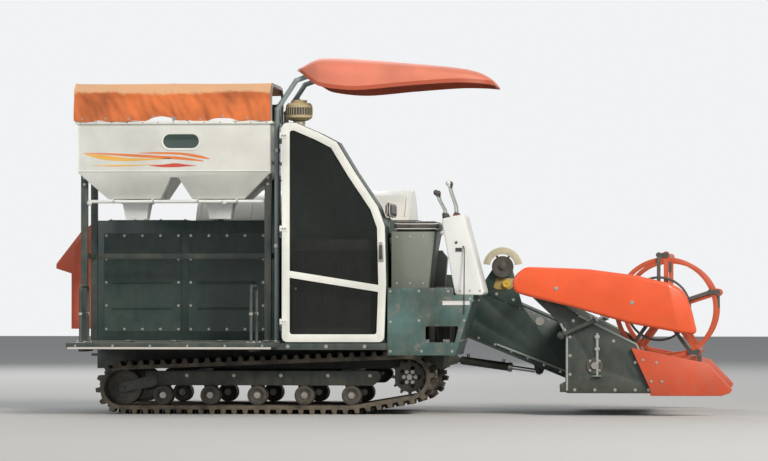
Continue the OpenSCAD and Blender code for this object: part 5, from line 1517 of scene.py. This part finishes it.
@dataclass
class Thresher(Assembly):
    """The thresher's body, drum cover, rear hood, left covers and grain elevator."""

    shells = (
        ("thresher_body", MACHINE_GREEN, 0.003), ("rear_hood", HOOD_RED, 0.004), ("side_covers", CREAM, 0.006),
        ("drum_cover", CREAM, 0.003), ("grain_elevator", MACHINE_GREEN, 0.002), ("threshing_drum", STEEL, 0.0015),
    )
    right: float = 0.100
    left: float = 1.120
    top: float = 1.480
    arc_centre: Flat = (0.590, 1.1784)
    arc_r: float = 0.5428
    covers: tuple[tuple[float, float, float, float], ...] = (
        (-2.27, -1.70, 0.62, 1.40), (-1.66, -0.98, 0.62, 1.43), (-0.94, -0.12, 0.62, 1.43),
    )
    louvred: int = 1
    elevator: Flat = (-0.900, 0.046)
    hood_sides: tuple[tuple[float, Vector], ...] = ((0.120, RIGHT), (1.060, LEFT))

    def right_wall(self) -> None:
        """Adds the pressed cleaning panels of the right wall, the top panel and their bolts."""
        panels, metal = Work(), Work()
        face = self.right - 0.005
        for x0, x1 in ((-2.24, -1.64), (-1.58, -0.98)):
            panels.panel(rectangle((x0, x1), self.right, (0.62, 1.38)), RIGHT, 0.005, 0.035, 0.003)
            for z in (0.80, 1.00, 1.20):
                panels.pipe([(x0 + 0.07, self.right - 0.001, z), (x1 - 0.07, self.right - 0.001, z)], 0.009)
            columns = steps(x0 + 0.018, (x1 - x0 - 0.036) / 4, 5)
            metal.bolts(product(columns, [face], (0.638, 1.362)), RIGHT, 0.008)
            metal.bolts(product((columns[0], columns[-1]), [face], (0.82, 1.00, 1.18)), RIGHT, 0.008)
        corners = ((-2.22, 0.18), (-1.60, 0.18), (-1.60, 1.00), (-2.22, 1.00))
        panels.panel([(*corner, self.top) for corner in corners], UP, 0.006, 0.03, 0.003)
        foot, grip = self.top + 0.002, self.top + 0.035
        panels.pipe([(-1.98, 0.52, foot), (-1.98, 0.52, grip), (-1.98, 0.66, grip), (-1.98, 0.66, foot)], 0.006)
        metal.bolts(product((-2.20, -2.01, -1.81, -1.62), (0.195, 0.985), [self.top + 0.006]), UP, 0.008)
        metal.bolts(product([0.200], (0.16, 1.02), (0.66, 0.80, 1.16, 1.30, 1.43)), FRONT, 0.009)
        panels.show("thresher_panels", "root", MACHINE_GREEN)
        metal.show("thresher_bolts", "root", ZINC)

    def left_covers(self) -> None:
        """Adds the left covers' pressings, louvres, latches and hinges."""
        pressings, metal = Work(), Work()
        y = self.left
        for n, (x0, x1, z0, z1) in enumerate(self.covers):
            pressings.panel(rectangle((x0 + 0.07, x1 - 0.07), y, (z0 + 0.07, z1 - 0.07)), LEFT, 0.004, 0.022, 0.003)
            if n == self.louvred:
                for z in steps(0.80, 0.045, 9):
                    pressings.block((x0 + 0.16, y, z), (x1 - 0.16, y + 0.011, z + 0.016), 0.004)
            for x in (x0 + 0.13, x1 - 0.13):
                metal.block((x - 0.022, y + 0.0005, z1 - 0.052), (x + 0.022, y + 0.012, z1 - 0.010), 0.003)
                metal.rod((x, y + 0.012, z1 - 0.031), (x, y + 0.018, z1 - 0.031), 0.010, 14, 0.008)
                metal.rod((x - 0.03, y + 0.002, z0 + 0.016), (x + 0.03, y + 0.002, z0 + 0.016), 0.007)
        pressings.show("cover_pressings", "root", CREAM)
        metal.show("cover_latches", "root", ZINC)

    def drum_cover(self) -> None:
        """Adds the drum cover's bands, its handle and its latches."""
        work = Work()
        y, z = self.arc_centre
        arc = [(y + self.arc_r * math.sin(a), z + self.arc_r * math.cos(a))
               for a in map(math.radians, steps(-53, 106 / 24, 25))]
        for x in (-1.500, -1.105, -0.700, -0.295, 0.100):
            work.pipe([(x, *spot) for spot in arc], 0.0065, 8)
        work.show("cover_bands", "cover", CREAM)
        work = Work()
        for x in (-1.30, -0.10):
            work.block((x - 0.025, 1.0395, 1.490), (x + 0.025, 1.050, 1.530), 0.003)
            work.rod((x, 1.050, 1.510), (x, 1.057, 1.510), 0.011, 16, 0.009)
        work.pipe([(-0.78, 0.985, 1.552), (-0.78, 1.022, 1.600), (-0.62, 1.022, 1.600), (-0.62, 0.985, 1.552)], 0.0065)
        work.show("cover_latch_set", "cover", ZINC)

    def hood_and_elevator(self) -> None:
        """Adds the hood's ribs and bolts, and the elevator's flanges."""
        work = Work()
        for y in (0.45, 0.73):
            work.pipe([(-2.310, y, 1.4705), (-2.420, y, 1.3995), (-2.612, y, 1.150)], 0.007, 8)
        work.pipe([(-2.612, 0.128, 1.126), (-2.612, 1.052, 1.126)], 0.0065)
        outline = ((-2.340, 0.70), (-2.340, 1.34), (-2.425, 1.34), (-2.475, 1.27), (-2.475, 0.70))
        for y, out in self.hood_sides:
            work.panel([(x, y, z) for x, z in outline], out, 0.003, 0.018, 0.002)
        work.show("hood_ribs", "root", HOOD_RED)
        work = Work()
        for y, out in self.hood_sides:
            work.bolts(product([-2.318], [y], (0.68, 0.84, 1.00, 1.16, 1.32, 1.43)), out, 0.008)
        x, y = self.elevator
        for z in (0.90, 1.34, 1.78, 2.14):
            work.ring((x, y, z), (x, y, z + 0.010), 0.0455, 0.058, 28, mat=1)
            work.bolts(circle((x, y, z + 0.010), 0.053, 4, level=True), UP, 0.005)
        work.bolts(product((x - 0.036, x + 0.036), (-0.12, 0.06), [2.364]), UP, 0.006)
        work.show("hood_bolts", "root", ZINC, MACHINE_GREEN)

    def pieces(self) -> None:
        """Makes every fitting."""
        self.right_wall()
        self.left_covers()
        self.drum_cover()
        self.hood_and_elevator()


@dataclass
class Header(Assembly):
    """The feeder house and the header, with their flanges, bolts, leg and drive."""

    shells = (
        ("feeder_house", MACHINE_GREEN, 0.0015), ("header_frame", HEADER_GREEN, 0.002), ("cutter_bar", STEEL, 0.0008),
        ("crop_dividers", DIVIDER_RED, 0.006), ("drive_pulley", IRON, 0.0015), ("pulley_guard", GUARD_BEIGE, 0.0015),
    )
    plates: tuple[tuple[float, Vector], ...] = ((-0.858, RIGHT), (1.178, LEFT))
    plate_bolts: tuple[Flat, ...] = (
        (1.45, 0.195), (1.60, 0.195), (1.75, 0.195), (1.90, 0.195), (2.00, 0.195), (1.415, 0.31), (1.415, 0.45),
        (1.415, 0.59), (1.44, 0.71), (1.74, 0.56), (1.90, 0.40),
    )
    edge: float = 0.0085
    feeder: tuple[tuple[float, Vector], ...] = ((0.250, RIGHT), (0.800, LEFT))
    auger: Flat = (1.600, 0.376)
    pivot: Flat = (1.134, 0.700)
    tensioner: Flat = (0.875, 0.986)
    top_line: tuple[Flat, Flat] = ((0.495, 1.045), (1.398, 0.650))
    low_line: tuple[Flat, Flat] = ((0.345, 0.675), (1.398, 0.242))
    dividers: tuple[tuple[float, Vector], ...] = ((-0.9005, RIGHT), (1.2205, LEFT))

    def side_plates(self) -> None:
        """Adds the side plates' pale edge bars, which paint the edges' highlights, their bolts and bearings, and the
        leg on the right.
        """
        edges, metal = Work(), Work()
        for y, out in self.plates:
            # Pale bars along the plates' edges: painted highlights.
            edges.pipe([(1.478, y, 0.750), (1.908, y, 0.536), (2.060, y, 0.204)], self.edge)
            edges.pipe([(1.392, y, 0.190), (1.392, y, 0.592), (1.345, y, 0.690)], self.edge)
            metal.bolts([(x, y, z) for x, z in self.plate_bolts], out, 0.009)
            hub = Vector((self.auger[0], y, self.auger[1]))
            metal.ring(hub, hub + out * 0.010, 0.0275, 0.062, 28, mat=1)
            metal.bolts(circle(hub + out * 0.010, 0.050, 4), out, 0.007)
            metal.bolts([(1.342, y * 0.96, 0.22), (1.342, y * 0.96, 0.72)], BACK, 0.008)
        edges.show("plate_edge_highlights", "header", LEG_GREY)
        metal.show("header_bolts", "header", ZINC, IRON)
        leg = Work()
        leg.pipe([(1.618, -0.869, 0.618), (1.617, -0.869, 0.300)], 0.0105, 14)
        for z in (0.590, 0.500):
            leg.block((1.600, -0.8815, z - 0.012), (1.636, -0.857, z + 0.012), 0.003)
        leg.block((1.585, -0.900, 0.296), (1.650, -0.860, 0.302), 0.002)
        leg.show("header_leg", "header", LEG_GREY)

    def feeder_trim(self) -> None:
        """Adds the feeder's edge flanges, its top hatch, its pivots and its bolts."""
        trim, metal = Work(), Work()
        for y, side in self.feeder:
            for ((xa, za), (xb, zb)), dz in ((self.top_line, -0.026), (self.low_line, 0.026)):
                trim.pipe([(xa + 0.12, y, za - 0.12 * (za - zb) / (xb - xa)), (xb - 0.01, y, zb + 0.004)], 0.0065)
                shares = steps(0.18, 0.12, 7)
                metal.bolts([(xa + (xb - xa) * t, y, za + (zb - za) * t + dz) for t in shares], side, 0.007)
            pivot = Vector((self.pivot[0], y, self.pivot[1]))
            metal.ring(pivot, pivot + side * 0.008, 0.018, 0.034, 26)
            metal.rod(pivot, pivot + side * 0.005, 0.020, 20)
        (xa, za), (xb, zb) = self.top_line
        along = Vector((xb - xa, 0, zb - za)).normalized()
        out = Vector((-along.z, 0, along.x))
        start = Vector((xa, 0, za))
        corners = ((0.20, 0.31), (0.80, 0.31), (0.80, 0.74), (0.20, 0.74))
        trim.panel([start + along * s + LEFT * y for s, y in corners], out, 0.005, 0.030, 0.003)
        seats = product((0.215, 0.50, 0.785), (0.325, 0.725))
        metal.bolts([start + along * s + LEFT * y + out * 0.005 for s, y in seats], out, 0.007)
        metal.bolts([(0.72, 0.242, 0.95), (0.80, 0.242, 0.91), (0.93, 0.242, 0.865)], RIGHT, 0.009)
        trim.show("feeder_trim", "header", MACHINE_GREEN)
        metal.show("feeder_bolts", "header", ZINC)

    def tensioner_set(self) -> None:
        """Adds the tensioner's cap and plate, and the pale bar under it that paints the feeder's edge highlight."""
        x, z = self.tensioner
        cap = Work()
        cap.rod((x, 0.243, z), (x, 0.214, z), 0.031, 24, 0.029)
        cap.ring((x, 0.216, z), (x, 0.206, z), 0.012, 0.024, 24)
        cap.show("tensioner_cap", "header", YELLOW)
        plate = Work()
        outline = ((0.775, 0.962), (0.800, 0.945), (0.905, 0.945), (0.948, 0.985), (0.930, 1.030), (0.800, 1.036))
        plate.outline([(x, 0.2435, z) for x, z in outline], RIGHT * 0.010, 0.003)
        plate.show("tensioner_plate", "header", OCHRE)
        # A pale bar along the feeder's lower edge: a painted highlight.
        highlight_bar = Work()
        highlight_bar.pipe([(0.80, 0.244, 0.520), (1.375, 0.244, 0.300)], self.edge)
        highlight_bar.show("feeder_edge_highlight", "header", LEG_GREY)

    def pieces(self) -> None:
        """Makes every fitting, with the crop dividers' bolts."""
        self.side_plates()
        self.feeder_trim()
        self.tensioner_set()
        work = Work()
        for y, out in self.dividers:
            work.bolts([(x, y, z) for x, z in ((1.96, 0.42), (2.02, 0.26), (2.10, 0.26), (2.06, 0.40))], out, 0.008)
        work.show("divider_bolts", "header", ZINC)


@dataclass
class Reel(Assembly):
    """The feathering pick-up reel: cover, arms, spiders, ring and bats' spring coils."""

    shells = (("reel_arms", HEADER_GREEN, 0.003), ("reel_core", REEL_ORANGE, 0.0012), ("feathering_ring", IRON, 0.0012))
    centre: Flat = (2.130, 0.800)
    radius: float = 0.400
    tines: int = 14
    first_tine: float = -0.780
    last_tine: float = 1.100
    cover: tuple[Flat, ...] = (
        (0.985, 0.994), (1.020, 1.060), (1.087, 1.114), (1.552, 1.096), (1.913, 1.048), (2.191, 0.981), (2.275, 0.922),
        (2.324, 0.788), (2.365, 0.608), (2.250, 0.619), (1.852, 0.693), (1.431, 0.814), (1.129, 0.886), (1.008, 0.922),
    )
    cover_back: float = -0.920
    cover_wall: float = 0.004
    crowns: tuple[Flat, ...] = ((0.004, 0.012), (0.006, 0.008), (0.008, 0.005), (0.010, 0.002))
    crease_x: float = 2.190
    arm_pivot: Flat = (1.120, 0.985)
    arm_face: float = 1.234
    spiders: Flat = (-0.804, 1.132)

    def reel_cover(self) -> None:
        """Makes the drive's crowned cover, with its rounded corners and its front bent inwards, and its screws."""
        work = Work()
        bm = work.bm
        face = bm.faces.new([bm.verts.new((x, self.cover_back, z)) for x, z in self.cover])
        for offset, corners in ((0.030, [v for v in face.verts if v.co.x < 1.1]),
                                (0.042, [v for v in face.verts if v.co.x > 1.1])):
            round_off(bm, corners, offset, 5, affect="VERTICES")
        bmesh.ops.remove_doubles(bm, verts=bm.verts, dist=0.002)
        top = max(bm.faces, key=lambda f: f.calc_area())
        if top.normal.y > 0:
            top.normal_flip()
        bmesh.ops.extrude_edge_only(bm, edges=list(top.edges))
        bmesh.ops.translate(bm, verts=list(top.verts), vec=(0, -0.066, 0))
        for inset, rise in self.crowns:
            bmesh.ops.inset_region(bm, faces=[top], thickness=inset, depth=rise, use_even_offset=True)
        bmesh.ops.bisect_plane(bm, geom=bm.verts[:] + bm.edges[:] + bm.faces[:], plane_co=(self.crease_x, 0, 0.8),
                               plane_no=(0.98, 0, 0.2))
        bmesh.ops.recalc_face_normals(bm, faces=bm.faces)
        if sum(f.normal.y * f.calc_area() for f in bm.faces) > 0:
            bmesh.ops.reverse_faces(bm, faces=bm.faces)
        for vert in bm.verts:
            ahead = (vert.co.x - self.crease_x) + 0.2 * (vert.co.z - 0.80)
            if ahead > 0 and vert.co.y < self.cover_back - 0.01:
                vert.co.y += min(ahead * 0.30, (self.cover_back - vert.co.y) * 0.6)
        piece = work.show("reel_drive_cover", "arms", ORANGE)
        solidify(piece, self.cover_wall)
        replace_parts(piece, "reel_cover")
        work = Work()
        for x, z in ((1.320, 0.950), (1.880, 0.846)):
            work.rod((x, -1.0120, z), (x, -1.0160, z), 0.017, 20, 0.015)
            work.bolts([(x, -1.0155, z)], RIGHT, 0.010)
        work.show("cover_screws", "arms", ZINC)

    def arms(self) -> None:
        """Adds the arms' end plates and bolts."""
        work = Work()
        for (x, z), bore in ((self.arm_pivot, 0.001), (self.centre, 0.0235)):
            work.ring((x, self.arm_face, z), (x, self.arm_face + 0.0072, z), bore, 0.036, 28)
            work.bolts(circle((x, self.arm_face + 0.004, z), 0.029, 4), LEFT, 0.005)
        for t in (0.15, 0.32, 0.5, 0.68, 0.85):
            x, z = (a + (b - a) * t for a, b in zip(self.arm_pivot, self.centre))
            work.rod((x, self.arm_face, z), (x, self.arm_face + 0.008, z), 0.0110, 14, 0.0090)
            work.bolts([(x, 1.200, z)], RIGHT, 0.009)
            work.bolts([(x, -0.880, z)], LEFT, 0.009)
        work.show("arm_bolts", "arms", ZINC)

    def bearings(self) -> None:
        """Adds the spiders' hub bolts and the bats' bearings."""
        work = Work()
        for y in self.spiders:
            hub = (self.centre[0], y, self.centre[1])
            work.bolts(circle(hub, 0.041, 5, 54.0), LEFT, 0.006)
            for spot in circle(hub, self.radius, 5, 90.0):
                work.ring(spot, spot + LEFT * 0.007, 0.0152, 0.024, mat=1)
            for r in (0.345, 0.368):
                work.bolts(circle(hub, r, 5, 90.0), LEFT, 0.006)
        work.show("spider_bolts", "reel", ZINC, IRON)

    def pieces(self) -> None:
        """Makes the cover and every fitting, with each bat's spring coils beside its tines."""
        self.reel_cover()
        self.arms()
        self.bearings()
        pitch = (self.last_tine - self.first_tine) / (self.tines - 1)
        for n, (x, _, z) in enumerate(circle((self.centre[0], 0, self.centre[1]), self.radius, 5, 90.0), 1):
            work = Work()
            for y in steps(self.first_tine, pitch, self.tines):
                for start in steps(y + 0.005, 0.0065, 3):
                    work.rod((x, start, z), (x, start + 0.005, z), 0.0195, 10)
                work.rod((x, y - 0.004, z + 0.010), (x, y - 0.004, z + 0.020), 0.007, 6)
            work.show(f"bat_{n}_coils", f"bat_{n}", STEEL)


@dataclass
class Cylinders(Assembly):
    """The hydraulic cylinders' glands and hose ports."""

    shells = (("lift_barrel", FRAME_GREEN, 0.0015),)
    lift: tuple[Flat, Flat] = ((0.480, 0.400), (1.120, 0.310))
    reel: tuple[Flat, Flat] = ((1.350, 0.600), (1.750, 0.782))

    @staticmethod
    def dress_one(work: Work, ends: tuple[Flat, Flat], y: float, length: float, r: float, rod: float) -> None:
        """Adds one cylinder's gland and its two hose ports.

        Args:
            work: the piece to add to.
            ends: both eyes, as (x, z).
            y: its place across the machine.
            length: the barrel's end from its eye.
            r: the barrel's radius.
            rod: the rod's radius.
        """
        start, end = (Vector((x, y, z)) for x, z in ends)
        way = (end - start).normalized()
        collar = start + way * (length + 0.002)
        work.ring(start + way * (length - r * 0.8), collar, rod + 0.001, r * 1.16, 24)
        work.ring(collar, start + way * (length + r * 0.22), rod + 0.001, r * 0.82, 24)
        up = Vector((-way.z, 0, way.x))
        for seat in (start + way * r * 2.6, start + way * (length - r * 2.2)):
            work.rod(seat + up * r * 0.9, seat + up * (r + 0.014), r * 0.34)
            work.rod(seat + up * (r + 0.013), seat + up * (r + 0.024), r * 0.42, 6)

    def pieces(self) -> None:
        """Makes the fittings of the header's and the reel's cylinders."""
        work = Work()
        self.dress_one(work, self.lift, 0.450, 0.430, 0.032, 0.017)
        work.show("lift_gland", "lift_barrel", ZINC)
        work = Work()
        for y in (-0.900, 1.220):
            self.dress_one(work, self.reel, y, 0.300, 0.018, 0.010)
        work.show("reel_lift_glands", "reel_barrels", ZINC)


def main() -> None:
    """Builds the scene piece by piece."""
    logging.basicConfig(level=logging.INFO, format="%(name)s: %(message)s")
    Stage().build()
    dress(FRAME_GREEN, "reel_lift_barrels")
    dress(STEEL, "tarp_hoops", "header_auger")
    dress(ROD_CHROME, "lift_rod", "reel_lift_rods")
    dress(BEIGE, "pre_cleaner")
    dress(TINE_BLACK, *(f"bat_{i}" for i in range(1, 6)))
    log.info("CAD nodes dressed")
    for kind in (Undercarriage, Decks, GrainTank, EngineBay, Canopy, TankTarp, Seat, Station, Thresher, Header, Reel,
                 Cylinders):
        kind().build()
        log.info("built %s", kind.__name__)


if __name__ == "__main__":
    main()
